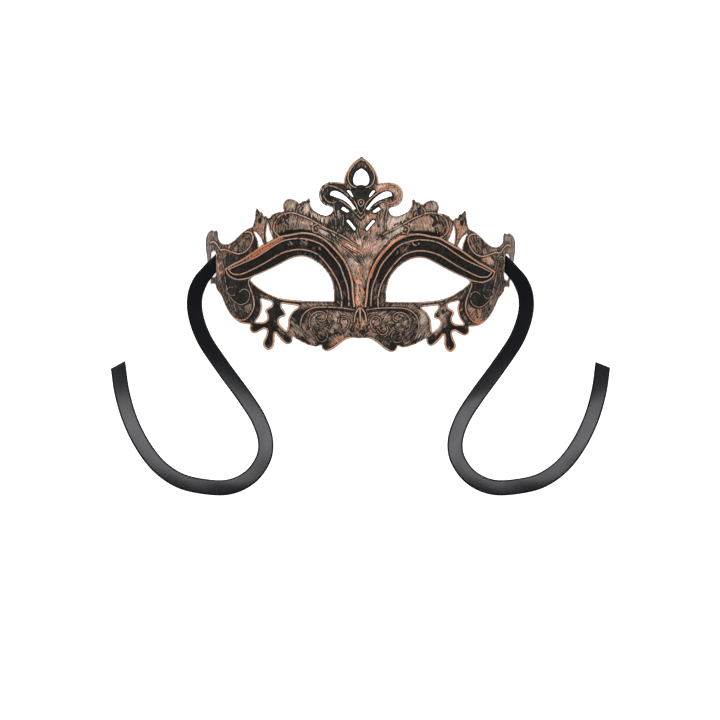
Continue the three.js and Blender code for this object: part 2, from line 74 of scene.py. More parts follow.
class Wire:
    """A socket in a node tree, on which Python arithmetic adds Math nodes."""

    def __init__(self, tree: "Tree", socket: bpy.types.NodeSocket) -> None:
        """Wraps a socket.

        Args:
            tree: The tree that the socket is in.
            socket: The output socket that holds the value.
        """
        self.tree = tree
        self.socket = socket

    def _math(self, operation: str, *values: Any) -> "Wire":
        """Adds one Math node and returns its result."""
        return self.tree.add("ShaderNodeMath", {"operation": operation}, *values)

    def __add__(self, other: Any) -> "Wire":
        """self + other."""
        return self._math("ADD", self, other)

    __radd__ = __add__

    def __sub__(self, other: Any) -> "Wire":
        """self - other."""
        return self._math("SUBTRACT", self, other)

    def __rsub__(self, other: Any) -> "Wire":
        """other - self."""
        return self._math("SUBTRACT", other, self)

    def __mul__(self, other: Any) -> "Wire":
        """self * other."""
        return self._math("MULTIPLY", self, other)

    __rmul__ = __mul__

    def __truediv__(self, other: Any) -> "Wire":
        """self / other."""
        return self._math("DIVIDE", self, other)

    def greatest(self, other: Any) -> "Wire":
        """The greater of the two values."""
        return self._math("MAXIMUM", self, other)

    def least(self, other: Any) -> "Wire":
        """The lesser of the two values."""
        return self._math("MINIMUM", self, other)

    def step(self, low: Any, high: Any) -> "Wire":
        """A smooth step of this value.

        Args:
            low: The value at which the result is 0.
            high: The value at which the result is 1.

        Returns:
            The step's value.
        """
        kind = {"interpolation_type": "SMOOTHSTEP"}
        return self.tree.add("ShaderNodeMapRange", kind, self, low, high)

    def channels(self, kind: str = "ShaderNodeSeparateColor") -> tuple["Wire", "Wire", "Wire"]:
        """The channels of a colour, or those of a vector with that node's type."""
        parts = self.tree.node(kind, {}, self)
        return tuple(Wire(self.tree, socket) for socket in parts.outputs)


class Tree:
    """Builds one node tree, of a material or of Geometry Nodes."""

    def __init__(self, nodes: bpy.types.NodeTree) -> None:
        """Starts on a tree and empties it."""
        nodes.nodes.clear()
        self.tree = nodes

    def node(self, kind: str, settings: dict[str, Any], *values: Any,
             **named: Any) -> bpy.types.Node:
        """Adds a node of any type.

        Args:
            kind: The node's type name.
            settings: Properties that are set before any socket.
            *values: Values or wires for the visible inputs in their order.
            **named: Values or wires for inputs by name, with _ in place of a space.

        Returns:
            The node.
        """
        made = self.tree.nodes.new(kind)
        for name, value in settings.items():
            setattr(made, name, value)
        shown = [socket for socket in made.inputs if socket.enabled]
        pairs = list(zip(shown, values))
        pairs += [(made.inputs[name.replace("_", " ")], value) for name, value in named.items()]
        for socket, value in pairs:
            if isinstance(value, Wire):
                self.tree.links.new(value.socket, socket)
            else:
                socket.default_value = value
        return made

    def add(self, kind: str, settings: dict[str, Any], *values: Any, out: str | int = 0,
            **named: Any) -> Wire:
        """Adds a node and returns one of its outputs.

        Args:
            kind: The node's type name.
            settings: Properties that are set before any socket.
            *values: Values or wires for the inputs in their order.
            out: The output's name, or its place among the visible ones.
            **named: Values or wires for inputs by name.

        Returns:
            The output as a wire.
        """
        made = self.node(kind, settings, *values, **named)
        if isinstance(out, str):
            return Wire(self, made.outputs[out])
        return Wire(self, [socket for socket in made.outputs if socket.enabled][out])

    def attribute(self, name: str, out: str = "Fac") -> Wire:
        """One of the piece's own attributes."""
        return self.add("ShaderNodeAttribute", {"attribute_name": name}, out=out)

    def blend(self, share: Any, low: Any, high: Any) -> Wire:
        """Mixes two colours by a share of the second."""
        kind = {"data_type": "RGBA", "clamp_factor": True}
        return self.add("ShaderNodeMix", kind, share, low, high)

    def vector(self, operation: str, *values: Any, **named: Any) -> Wire:
        """Adds one Vector Math node and returns its result."""
        return self.add("ShaderNodeVectorMath", {"operation": operation}, *values, **named)

    def noise_at(self, place: Wire, scale: float, detail: float = 2.0,
                 out: str | int = "Color") -> Wire:
        """A noise texture at a place. Its three colour channels are three noises."""
        return self.add("ShaderNodeTexNoise", {}, out=out, Vector=place, Scale=scale,
                        Detail=detail)

    def surface(self, **inputs: Any) -> None:
        """Ends a material's tree with a Principled shader that has these inputs."""
        shader = self.add("ShaderNodeBsdfPrincipled", {}, **inputs)
        self.node("ShaderNodeOutputMaterial", {}, Surface=shader)

    def dress(self, mesh: Wire, along: Wire, material: Wire) -> None:
        """Ends a sweep's tree, with plain geometry that has its material.

        Args:
            mesh: The swept mesh.
            along: The values of its attribute named along.
            material: Its material.
        """
        kind = {"data_type": "FLOAT_VECTOR", "domain": "POINT"}
        stored = self.add("GeometryNodeStoreNamedAttribute", kind, mesh, Name="along",
                          Value=along)
        real = self.add("GeometryNodeRealizeInstances", {}, stored)
        dressed = self.add("GeometryNodeSetMaterial", {}, real, Material=material)
        self.node("NodeGroupOutput", {}, dressed)


def new_material(name: str) -> tuple[bpy.types.Material, Tree]:
    """A new material, and the builder for its empty tree."""
    made = bpy.data.materials.new(name)
    made.use_nodes = True
    return made, Tree(made.node_tree)


def new_object(name: str, data: bpy.types.ID) -> bpy.types.Object:
    """A new object in the scene, for a mesh, a camera or a light."""
    made = bpy.data.objects.new(name, data)
    bpy.context.scene.collection.objects.link(made)
    return made


def srgb(red: int, green: int, blue: int) -> Color:
    """A linear colour from the 0 to 255 values of a screen colour.

    Args:
        red: The red value.
        green: The green value.
        blue: The blue value.

    Returns:
        The linear colour with full alpha.
    """
    def linear(value: int) -> float:
        """The linear share of one screen value."""
        share = value / 255
        return share / 12.92 if share <= 0.04045 else ((share + 0.055) / 1.055) ** 2.4

    return linear(red), linear(green), linear(blue), 1.0


# Shapes in the plane


def smooth_step(value: np.ndarray) -> np.ndarray:
    """The smooth step of a value that is held between 0 and 1."""
    held = np.clip(value, 0.0, 1.0)
    return held * held * (3 - 2 * held)


def dome(away: np.ndarray, core: float) -> np.ndarray:
    """1 as far out as the core, and from there smoothly down to 0 at a distance of 1."""
    return 1 - smooth_step((away - core) / (1 - core))


def turned(x: np.ndarray, y: np.ndarray, degrees: float) -> tuple[np.ndarray, np.ndarray]:
    """Distances along and across axes that are turned by an angle."""
    turn = math.radians(degrees)
    return x * math.cos(turn) + y * math.sin(turn), y * math.cos(turn) - x * math.sin(turn)


def curve_through(points: np.ndarray, spacing: float, closed: bool = False) -> np.ndarray:
    """A centripetal Catmull-Rom curve through points.

    Args:
        points: The points, one a row.
        spacing: The greatest distance between the points of the result.
        closed: Whether the curve returns to its first point.

    Returns:
        Points along the curve, without a second copy of the first one if it is closed.
    """
    points = np.asarray(points, float)
    if closed:
        padded = np.vstack([points[-1], points, points[0], points[1]])
    else:
        before, after = 2 * points[0] - points[1], 2 * points[-1] - points[-2]
        padded = np.vstack([before, points, after])
    made = []
    for p0, p1, p2, p3 in zip(padded, padded[1:], padded[2:], padded[3:]):
        gaps = [max(math.dist(a, b) ** 0.5, 1e-4) for a, b in ((p0, p1), (p1, p2), (p2, p3))]
        t1, t2 = gaps[0], gaps[0] + gaps[1]
        t3 = t2 + gaps[2]
        count = max(1, math.ceil(math.dist(p1, p2) / spacing))
        t = np.linspace(t1, t2, count, endpoint=False)[:, None]
        a1 = (t1 - t) / t1 * p0 + t / t1 * p1
        a2 = (t2 - t) / gaps[1] * p1 + (t - t1) / gaps[1] * p2
        a3 = (t3 - t) / gaps[2] * p2 + (t - t2) / gaps[2] * p3
        b1 = (t2 - t) / t2 * a1 + t / t2 * a2
        b2 = (t3 - t) / (t3 - t1) * a2 + (t - t1) / (t3 - t1) * a3
        made.append((t2 - t) / gaps[1] * b1 + (t - t1) / gaps[1] * b2)
    if not closed:
        made.append(points[-1:])
    return np.vstack(made)


def offset_line(line: np.ndarray, distance: float) -> np.ndarray:
    """A line moved sideways, to its left for a positive distance."""
    along = np.gradient(line, axis=0)
    along /= np.maximum(np.linalg.norm(along, axis=1, keepdims=True), 1e-9)
    return line + distance * np.column_stack([-along[:, 1], along[:, 0]])


def inside_rings(points: np.ndarray, rings: Sequence[np.ndarray]) -> np.ndarray:
    """Which points lie inside an odd number of rings.

    Args:
        points: The points to test.
        rings: Closed rings of points.

    Returns:
        One truth value a point.
    """
    odd = np.zeros(len(points), bool)
    for ring in rings:
        low, high = ring.min(0), ring.max(0)
        near = np.flatnonzero(((points > low) & (points < high)).all(1))
        for part in np.array_split(near, max(1, len(near) // POINTS_AT_ONCE)):
            x, y = points[part, 0][:, None], points[part, 1][:, None]
            ax, ay = ring[:, 0], ring[:, 1]
            bx, by = np.roll(ax, -1), np.roll(ay, -1)
            rise = np.where(by == ay, 1e-12, by - ay)
            crosses = ((ay > y) != (by > y)) & (x < ax + (y - ay) / rise * (bx - ax))
            odd[part] ^= crosses.sum(1) % 2 == 1
    return odd


def nearest_on_line(points: np.ndarray, line: np.ndarray,
                    reach: float) -> tuple[np.ndarray, np.ndarray]:
    """How far points are from a line, and where along it they are nearest.

    Args:
        points: The points.
        line: The line's points.
        reach: The distance past which the result is only known to be more.

    Returns:
        One distance a point, which is the reach where it is further, and the share of the
        line's length that lies before its nearest point.
    """
    best, share = np.full(len(points), reach), np.zeros(len(points))
    last = len(line) - 1
    blocks = max(1, last // SEGMENTS_AT_ONCE)
    for i in range(blocks):
        first, end = i * last // blocks, (i + 1) * last // blocks
        piece = line[first:end + 1]
        low, high = piece.min(0) - reach, piece.max(0) + reach
        near = np.flatnonzero(((points > low) & (points < high)).all(1))
        a, along = piece[:-1], np.diff(piece, axis=0)
        lengths = np.maximum((along ** 2).sum(1), 1e-12)
        for part in np.array_split(near, max(1, len(near) // POINTS_AT_ONCE)):
            off = points[part][:, None, :] - a
            t = np.clip((off * along).sum(2) / lengths, 0, 1)
            gaps = np.linalg.norm(off - t[..., None] * along, axis=2)
            pick = gaps.argmin(1)
            rows = np.arange(len(part))
            gap = gaps[rows, pick]
            closer = gap < best[part]
            chosen = part[closer]
            best[chosen] = gap[closer]
            share[chosen] = (first + pick + t[rows, pick])[closer] / last
    return best, share


def closed_line(ring: np.ndarray) -> np.ndarray:
    """A ring with its first point again at its end."""
    return np.vstack([ring, ring[:1]])


# The plain face


@dataclass(frozen=True)
class Swell:
    """A broad oval hill or hollow of the face, on both halves, in millimetres. The core is the
    share of its size within which it is level."""

    x: float
    y: float
    long: float
    short: float
    turn: float
    core: float
    height: float

    def at(self, x: np.ndarray, y: np.ndarray) -> np.ndarray:
        """The height that the swell adds.

        Args:
            x: Distances left of the middle plane, as negative numbers.
            y: Heights on the face.

        Returns:
            The added heights.
        """
        u, v = turned(x - self.x, y - self.y, self.turn)
        return self.height * dome(np.hypot(u / self.long, v / self.short), self.core)


@dataclass(frozen=True)
class PlainFace:
    """The bent face with its nose and broad forms, before any ornament, in millimetres."""

    depth: float = 62
    power: float = 2.3
    half_width: float = 92.1
    cut: float = 17.1
    widest_y: float = 5.5
    taper_up: float = 0.09
    taper_down: float = 0.08
    taper_down_squared: float = 0.0014
    crown_lean: float = 0.0028
    chin_lean: float = 0.0012
    nose_top: float = 12
    nose_length: float = 54
    nose_height: float = 12.5
    nose_half_width: tuple[float, float] = (7.5, 13)
    wall: float = 1.5
    wall_at_rear: float = 1.0
    wall_thins_from: float = 70
    wall_thins_over: float = 14
    swells: tuple[Swell, ...] = (
        Swell(-39, -14, 40, 20, 16, 0.45, -4),
        Swell(-20, -41.5, 18, 13, 4, 0.3, 2.6),
        Swell(-71, -28, 14, 10, 80, 0.3, 1.6),
        Swell(-34, 17, 19, 7.5, -10, 0.3, 1.4),
        Swell(-72, 6, 11, 6, 18, 0.3, 1),
        Swell(-40.5, 27, 5, 5, 0, 0.2, 0.8),
        Swell(-19.5, 35, 6, 5, 0, 0.2, 1),
        Swell(-58.5, 18.8, 3, 2.2, 90, 0, -0.6),
    )

    def height(self, x: np.ndarray, y: np.ndarray) -> np.ndarray:
        """Height of the face over the table.

        Args:
            x: Distances from the middle plane.
            y: Heights on the face.

        Returns:
            The heights.
        """
        above, below = np.maximum(0, y - self.widest_y), np.maximum(0, self.widest_y - y)
        reach = (self.half_width - self.taper_up * above
                 - self.taper_down * below - self.taper_down_squared * below ** 2)
        share = np.minimum(0.999, np.abs(x) / reach)
        bend = self.depth * (1 - share ** self.power) ** (1 / self.power)
        lean = (self.crown_lean * np.maximum(0, y) ** 2
                + self.chin_lean * np.minimum(0, y) ** 2)
        down = smooth_step((self.nose_top - y) / self.nose_length)
        narrow, wide = self.nose_half_width
        nose = self.nose_height * down * np.exp(-(x / (narrow + (wide - narrow) * down)) ** 2)
        forms = sum(swell.at(-np.abs(x), y) for swell in self.swells)
        return bend - self.cut - lean + nose + forms

    def stretch(self, x: np.ndarray, y: np.ndarray) -> np.ndarray:
        """How much taller a layer is when it is measured straight up."""
        step = 0.05
        slope_x = (self.height(x + step, y) - self.height(x - step, y)) / (2 * step)
        slope_y = (self.height(x, y + step) - self.height(x, y - step)) / (2 * step)
        return np.sqrt(1 + slope_x ** 2 + slope_y ** 2)

    def wall_thickness(self, x: np.ndarray) -> np.ndarray:
        """The wall's thickness, which is less towards the wings."""
        thinned = smooth_step((np.abs(x) - self.wall_thins_from) / self.wall_thins_over)
        return self.wall + (self.wall_at_rear - self.wall) * thinned

    def section_table(self) -> tuple[np.ndarray, np.ndarray]:
        """Places across the face and their distances along its bend."""
        x = np.linspace(0, self.half_width - 1, 400)
        bend = self.depth * (1 - (x / self.half_width) ** self.power) ** (1 / self.power)
        steps = np.hypot(np.diff(x), np.diff(bend))
        return x, np.concatenate([[0], np.cumsum(steps)])

    def unroll(self, points: np.ndarray) -> np.ndarray:
        """Points of the front view on the face laid flat."""
        x, lengths = self.section_table()
        flat = np.sign(points[:, 0]) * np.interp(np.abs(points[:, 0]), x, lengths)
        return np.column_stack([flat, points[:, 1]])

    def roll_back(self, points: np.ndarray) -> np.ndarray:
        """Points of the flat face in the front view again."""
        x, lengths = self.section_table()
        bent = np.sign(points[:, 0]) * np.interp(np.abs(points[:, 0]), lengths, x)
        return np.column_stack([bent, points[:, 1]])


# Ornament. Its points are in millimetres, read on a mask that leans a little. Those of what is
# on both halves were read on the left one.


class Halves(Enum):
    """The halves of the mask that an ornament is on."""

    BOTH = "both"
    AS_READ = "as read"


@dataclass(frozen=True)
class Bead:
    """A raised line. Its tone is how much copper is on its crest, from 0 to 1, and how much
    black, partly painted shade, lies beside it.
    """

    points: Line
    half_width: float = 0.5
    height: float = 0.45
    tone: float = 0.7
    fades_from: float = 1.0
    halves: Halves = Halves.BOTH


@dataclass(frozen=True)
class Cut:
    """A line that is cut in and painted black: partly the black ground, partly painted shade."""

    points: Line
    half_width: float = 0.4
    depth: float = 0.3
    halves: Halves = Halves.BOTH


@dataclass(frozen=True)
class Panel:
    """A raised or sunk area inside a closed line. Its paint, if it has its own, is how much
    of the ground is covered and how much of that is copper, for the left and the right."""

    points: Line
    height: float
    bevel: float = 0.8
    halves: Halves = Halves.BOTH
    paint: tuple[Point, ...] = ()


def arc(x: float, y: float, radii: Point, start: float, sweep: float,
        count: int = 9) -> list[Point]:
    """An arc or a spiral as a line of points.

    Args:
        x: The centre's x.
        y: The centre's y.
        radii: The radius at its start and at its end.
        start: The angle of its start in degrees, from +X towards +Y.
        sweep: The angle that it turns through.
        count: The number of points.

    Returns:
        The points.
    """
    shares = [i / (count - 1) for i in range(count)]
    turns = [math.radians(start + sweep * share) for share in shares]
    sizes = [radii[0] + (radii[1] - radii[0]) * share for share in shares]
    return [(x + r * math.cos(a), y + r * math.sin(a)) for r, a in zip(sizes, turns)]


def dot(x: float, y: float) -> Line:
    """A line so short that it makes a dot."""
    return (x - 0.05, y), (x + 0.05, y)


def cuts_as_read(*rows: tuple[float, float, Line]) -> list[Cut]:
    """Cuts on one half only, each from its half width, its depth and its points."""
    return [Cut(points, half_width, depth, Halves.AS_READ) for half_width, depth, points in rows]


class Ornament:
    """A group of ornament on the mask."""

    def beads(self) -> list[Bead]:
        """The raised lines."""
        return []

    def cuts(self) -> list[Cut]:
        """The lines that are cut in."""
        return []

    def panels(self) -> list[Panel]:
        """The raised, sunk or painted areas."""
        return []


@dataclass(frozen=True)
class EyeFrame(Ornament):
    """The three ridges round each eye and the dark bands between them."""

    ridge_width: float = 0.5
    ridge_height: float = 0.7
    brow: Line = (
        (-78.5, -8.2), (-74, -5.6), (-68.8, -3), (-63.6, 0.4), (-58.4, 3.8), (-51.9, 7.2),
        (-46.7, 10.1), (-40.5, 11.4), (-34, 12.4), (-27.4, 11.5), (-20.6, 8.1), (-14, 1.8),
        (-9.6, -3.9), (-6.6, -10.6), (-5.1, -17), (-4.6, -24), (-3.9, -30),
    )
    middle: Line = (
        (-76.9, -8.6), (-71.4, -6), (-66.2, -3.8), (-61, -1.5), (-54.5, 2.5), (-49.3, 5.9),
        (-44.1, 8.3), (-35, 9.3), (-28, 8), (-22.4, 5.5), (-17.4, 0.3), (-12.6, -5.9),
        (-10, -12.3), (-7.9, -18.3), (-7.1, -25), (-7, -29.5),
    )
    lid: Line = (
        (-76.8, -8.7), (-74.6, -10.8), (-70.1, -11.3), (-63.6, -8.8), (-58.4, -6.2),
        (-52.5, -2.9), (-46.7, 0.5), (-41.5, 2.2), (-36.3, 3), (-31.1, 2.5), (-25.3, 0.2),
        (-20, -5.2), (-15.6, -11.6), (-12.6, -17.6), (-11.1, -25), (-11.3, -30),
    )
    corner: Line = (
        (-78.5, -8.2), (-77.4, -10.9), (-75.5, -12.7), (-73.3, -13.8), (-70.8, -14.3),
        (-65.7, -13.5), (-63, -12.4),
    )
    hole_top: Line = (
        (-63, -12.4), (-58.9, -11), (-52.7, -8.5), (-46.4, -5.4), (-41, -2.5), (-37, -1.1),
        (-33, -0.9), (-28, -2.4), (-23, -5.7), (-19.6, -9.3), (-17.1, -13.2), (-15.7, -18),
        (-15.4, -25), (-15.6, -29),
    )
    bud: Line = ((29.6, 7.6), (30.6, 5.6), (32.4, 5.4), (33.6, 6.6))
    smear: Line = (
        (5.4, -13), (7.3, -7.8), (10.2, -2.3), (14.2, 2.7), (19.2, 7.6), (25, 10.9), (30, 12.2),
    )
    shade: Line = ((4.6, -10.4), (7, -4.8), (10.8, 1.4), (14.8, 6.2), (19.4, 10.4), (24, 13))
    nicks: tuple[Line, ...] = (
        ((-41, 7.4), (-39.8, 5.9)), ((-34.6, 8.2), (-32.4, 6.6)), ((-33.6, 6), (-31.4, 8.2)),
        ((-32, 5.7), (-30.6, 7)), ((22.6, 2.2), (25.6, 5.4)), ((24.2, 1.6), (27.4, 4.8)),
        ((20.2, -0.4), (21.8, 2.6)), ((26.2, 6.2), (28.4, 6.2)), ((-24.6, 4.4), (-23.2, 2.6)),
    )

    def beads(self) -> list[Bead]:
        """The ridges, and the smear, bud and nicks that are on one half only."""
        wide, high = self.ridge_width, self.ridge_height
        return [
            *[Bead(nick, 0.5, 0.15, 0.5, halves=Halves.AS_READ) for nick in self.nicks],
            Bead(self.smear, 0.85, 0.6, 1.0, 0.75, Halves.AS_READ),
            Bead(self.brow, wide * 1.25, high * 1.1, 0.9),
            Bead(self.middle, wide, high, 0.8),
            Bead(self.lid, wide, high, 0.8),
            Bead(self.corner, wide, high * 0.8, 0.8),
            Bead(self.bud, 0.5, 0.3, 0.7, halves=Halves.AS_READ),
        ]

    def cuts(self) -> list[Cut]:
        """Black lines beside the ridge of the brow, and a line of painted shade beside the smear.
        """
        beside = [(x, y + 1.4) for x, y in self.brow[6:11]]
        return [Cut(beside, 0.5, 0.2), *cuts_as_read((0.36, 0.2, self.shade))]

    def panels(self) -> list[Panel]:
        """The bands between the ridges, which are sunk, and fresh copper at the left's outer
        end and along the smear."""
        outer = [(-75, -6.9), *self.brow[2:7], (-43.6, 9.6), *reversed(self.middle[2:6])]
        fresh = [(x - 0.9, y + 0.7) for x, y in self.smear]
        fresh += [(x + 0.9, y - 0.7) for x, y in reversed(self.smear)]
        inner = [*self.lid[8:], *reversed(self.hole_top[4:])]
        return [
            Panel([*self.brow, *reversed(self.middle)], -0.35, 0.7,
                  paint=((0.18, 0.3), (0.05, 0.4))),
            Panel([*self.middle, *reversed(self.lid)], -0.75, 1.4,
                  paint=((0.0, 0.3), (0.0, 0.3))),
            Panel([*self.lid, *reversed(self.hole_top), *reversed(self.corner)], -0.45, 1.2,
                  paint=((0.05, 0.4), (0.05, 0.4))),
            Panel(inner, 0, 0.8, paint=((0.3, 0.25), (0.26, 0.25))),
            Panel(outer, 0.1, 1.5, Halves.AS_READ, ((0.86, 1.05),)),
            Panel(fresh, 0, 0.8, Halves.AS_READ, ((0.8, 1.1),)),
        ]


@dataclass(frozen=True)
class Crown(Ornament):
    """The pierced crown: its teardrop, scrolls, heart, stem and rivet."""

    teardrop: Line = (
        (0.4, 55.4), (-1.7, 54.1), (-3.5, 52.5), (-5.2, 50.5), (-6.7, 48.1), (-7.5, 45.5),
        (-7.3, 43.2), (-6.4, 41), (-4.8, 39.5), (-2.6, 38.8),
    )
    scroll_line: Line = (
        (-15.4, 29.9), (-18.6, 30.4), (-21.2, 33), (-22.3, 36.3), (-20.6, 39.2), (-17, 39.7),
        (-12.5, 38), (-7.6, 34.3), (-3.4, 30.1), (-1.8, 26.1), (-0.3, 23.6),
    )
    lower_arm: Line = (
        (-15.2, 30.6), (-12, 31), (-9.8, 29.8), (-6.1, 27.1), (-2.6, 23.6), (0, 20.9),
    )
    stem_edge: Line = ((-15.9, 31.4), (-15.3, 25.8), (-14.7, 22.3), (-14.5, 15))
    stem_rib: Line = ((-10.4, 23), (-10.2, 20), (-10.4, 16.8))
    rivet: Point = (0, 30.2)
    rivet_radius: float = 1.7

    def beads(self) -> list[Bead]:
        """The raised lines."""
        x, y = self.rivet
        ring = arc(x, y, (self.rivet_radius, self.rivet_radius), -40, 260)
        drop = [(x, y - 2.5), *ring, (x, y - 2.5)]
        return [
            Bead(self.teardrop, 0.45, 0.45, 0.72),
            Bead(self.scroll_line, 0.45, 0.5, 0.62),
            Bead(self.lower_arm, 0.45, 0.5, 0.62),
            Bead(self.stem_edge, 0.42, 0.35, 0.55),
            Bead(self.stem_rib, 0.36, 0.25, 0.6),
            Bead(drop, 0.38, 0.4, 0.7, halves=Halves.AS_READ),
            Bead(dot(x, y), 0.62, 0.6, 1.0, halves=Halves.AS_READ),
            Bead(((-1.9, -0.9), (2.9, 9.2)), 0.3, 0.1, 0.3, halves=Halves.AS_READ),
        ]

    def cuts(self) -> list[Cut]:
        """The dark hollows at the scrolls' inner ends."""
        return [Cut(((-18.4, 35), (-17.6, 33.4), (-15.6, 33)), 0.7, 0.35)]

    def panels(self) -> list[Panel]:
        """The sunk heart with its two soft bumps."""
        heart = ((0, 38.4), (-4.5, 38.6), (-6.8, 34.8), (-2.6, 28.5), (-0.5, 24.6), (0, 24.4),
                 (0.5, 24.6), (2.6, 28.5), (6.8, 34.8), (4.5, 38.6))
        bump = arc(-1.8, 35.4, (1.7, 1.7), 0, 330, 12)
        return [Panel(heart, -0.5, 0.8, Halves.AS_READ, ((0.0, 0.2),)), Panel(bump, 0.55, 1.5)]


@dataclass(frozen=True)
class Brow(Ornament):
    """The shell-shaped lobes over each eye, the ridge to the nose and its small curl. The
    right ridge is the left one mirrored as far as its shared points, and then its own end."""

    ridge: Line = (
        (-45.8, 9.8), (-48.4, 11.4), (-50.3, 14), (-50.1, 17.7), (-48, 21.6), (-44.6, 23.6),
        (-39.4, 24.2), (-35.3, 22.9), (-30, 20.7), (-25.5, 18.2), (-20, 15.1), (-15, 12.8),
        (-10.1, 10.3), (-5.1, 6.9), (-0.5, 4.2), (2.4, 2.4),
    )
    shared_points: int = 11
    right_end: Line = ((14, 12.4), (9.5, 9))
    strokes: tuple[Line, ...] = (
        ((-14.4, 9), (-8.6, 4.6), (-1, 0.2), (2.4, -2.2)),
        ((-12, 9), (-5, 5.8), (1.6, 1.6)),
        ((-11, 4.6), (-6.6, 1.2), (-1.6, -3.4)),
    )
    curl: Point = (-26, 15)
    curl_radius: float = 2.3
    tail_low: Line = (
        (-28.1, 15.5), (-26.9, 13.1), (-24.4, 12.4), (-20.4, 9.7), (-16.5, 7.6),
    )
    dabs: Line = ((19.4, 16.8), (21, 17.6), (22.8, 18.3), (25, 19), (27, 20.2))
    tooth_start: Point = (-30.4, 21.6)
    tooth_step: Point = (1.12, -0.56)
    tooth_heights: tuple[float, ...] = (1.4, 2.2, 1.2, 2.6, 1.8, 1.1, 2.4, 1.5, 2.8, 1.6, 2.2, 1.2)

    def beads(self) -> list[Bead]:
        """The raised lines and the pearls."""
        right = [(-x, y) for x, y in self.ridge[:self.shared_points]]
        x, y = self.curl
        made = [
            Bead(self.ridge, 0.5, 0.6, 0.75, 0.85, Halves.AS_READ),
            Bead([*right, *self.right_end], 0.5, 0.6, 0.7, 0.9, Halves.AS_READ),
            Bead(arc(x, y, (self.curl_radius, self.curl_radius), 80, 250), 0.4, 0.4, 0.8),
            Bead(self.tail_low, 0.4, 0.4, 0.6),
            Bead(((-43.2, 24), (-44.4, 21.6), (-45.2, 19.4)), 0.42, 0.3, 0.6),
            Bead(((-44.2, 16), (-44.8, 13.2)), 0.4, 0.25, 0.6),
            Bead(((-35.4, 28.5), (-37.1, 26.1), (-37.3, 24.6)), 0.42, 0.3, 0.6),
            Bead(((-53.3, 21), (-54.6, 17), (-53.6, 11.5)), 0.4, 0.3, 0.4),
            Bead(dot(x, y), 0.7, 0.5, 0.8),
        ]
        made += [Bead(stroke, 0.3, 0.1, 0.9, 0.6, Halves.AS_READ) for stroke in self.strokes]
        made += [Bead(dot(-23.4 + 2.6 * i, 13.9 - 1.3 * i), 0.5, 0.35, 0.4) for i in range(4)]
        return made

    def cuts(self) -> list[Cut]:
        """The hooked leaf folds, the first with painted shade beside its hook, the row of teeth
        over the ridge, and black by the curl.
        """
        made = [
            # The black of this cut is painted shade beside the hook.
            Cut(((-43.9, 20.6), (-43.6, 18.6), (-42, 17.4)), 0.6, 0.4),
            Cut(((-42, 22.6), (-43, 21)), 0.6, 0.3),
            Cut(((-46.8, 19.8), (-48, 17.6)), 0.45, 0.25),
            Cut(((-33.6, 27.3), (-34.6, 25.4)), 0.5, 0.35),
        ]
        made += cuts_as_read(
            (0.5, 0.3, ((-23.8, 15.4), (-20.6, 13.9), (-17.4, 12), (-15.4, 9.4))),
            (0.5, 0.3, ((43, 15.4), (44, 12), (46.4, 10.8), (48.4, 12.4), (48.8, 15))),
            (0.8, 0.4, ((40.4, 22.6), (42.4, 21), (42.8, 19), (41.6, 16.8))),
            (0.5, 0.3, ((31.6, 25.4), (30.2, 23.6), (30.4, 22.2))),
            (0.5, 0.3, ((34.4, 27.4), (33, 25.4), (33.4, 23.4))),
            (0.5, 0.3, ((37.4, 28.8), (36, 26.6), (36.4, 24.2))),
            *((0.5, 0.3, ((x, y), (x + 0.4, y + 0.8))) for x, y in self.dabs),
        )
        for i, tall in enumerate(self.tooth_heights):
            x = self.tooth_start[0] + self.tooth_step[0] * i
            y = self.tooth_start[1] + self.tooth_step[1] * i
            lean = 0.7 if i % 2 else -0.2
            tooth = ((x - lean, y + tall), (x - lean / 4, y + tall / 2), (x, y))
            made += cuts_as_read((0.36, 0.25, tooth))
        return made

    def panels(self) -> list[Panel]:
        """The puffed shell, the lobe over it, and the band from the curl to the nose."""
        shell = ((-45, 11.5), (-49, 14), (-48.8, 18), (-46.6, 21.4), (-40, 23), (-34, 21.6),
                 (-28.5, 19), (-29.4, 15), (-36, 14.4))
        lobe = ((-44.5, 25.6), (-45.6, 29), (-43, 31.6), (-39.6, 31.6), (-36.4, 29.6),
                (-37.6, 26))
        band = ((-24.6, 16.4), (-19, 13.8), (-14.6, 11.4), (-16.4, 8.4), (-20.4, 10.4),
                (-24, 12.8))
        return [Panel(shell, 0.7, 3.5), Panel(lobe, 0.5, 2.5),
                Panel(band, 0, 0.8, paint=((0.98, 0.05), (0.86, 0.25)))]


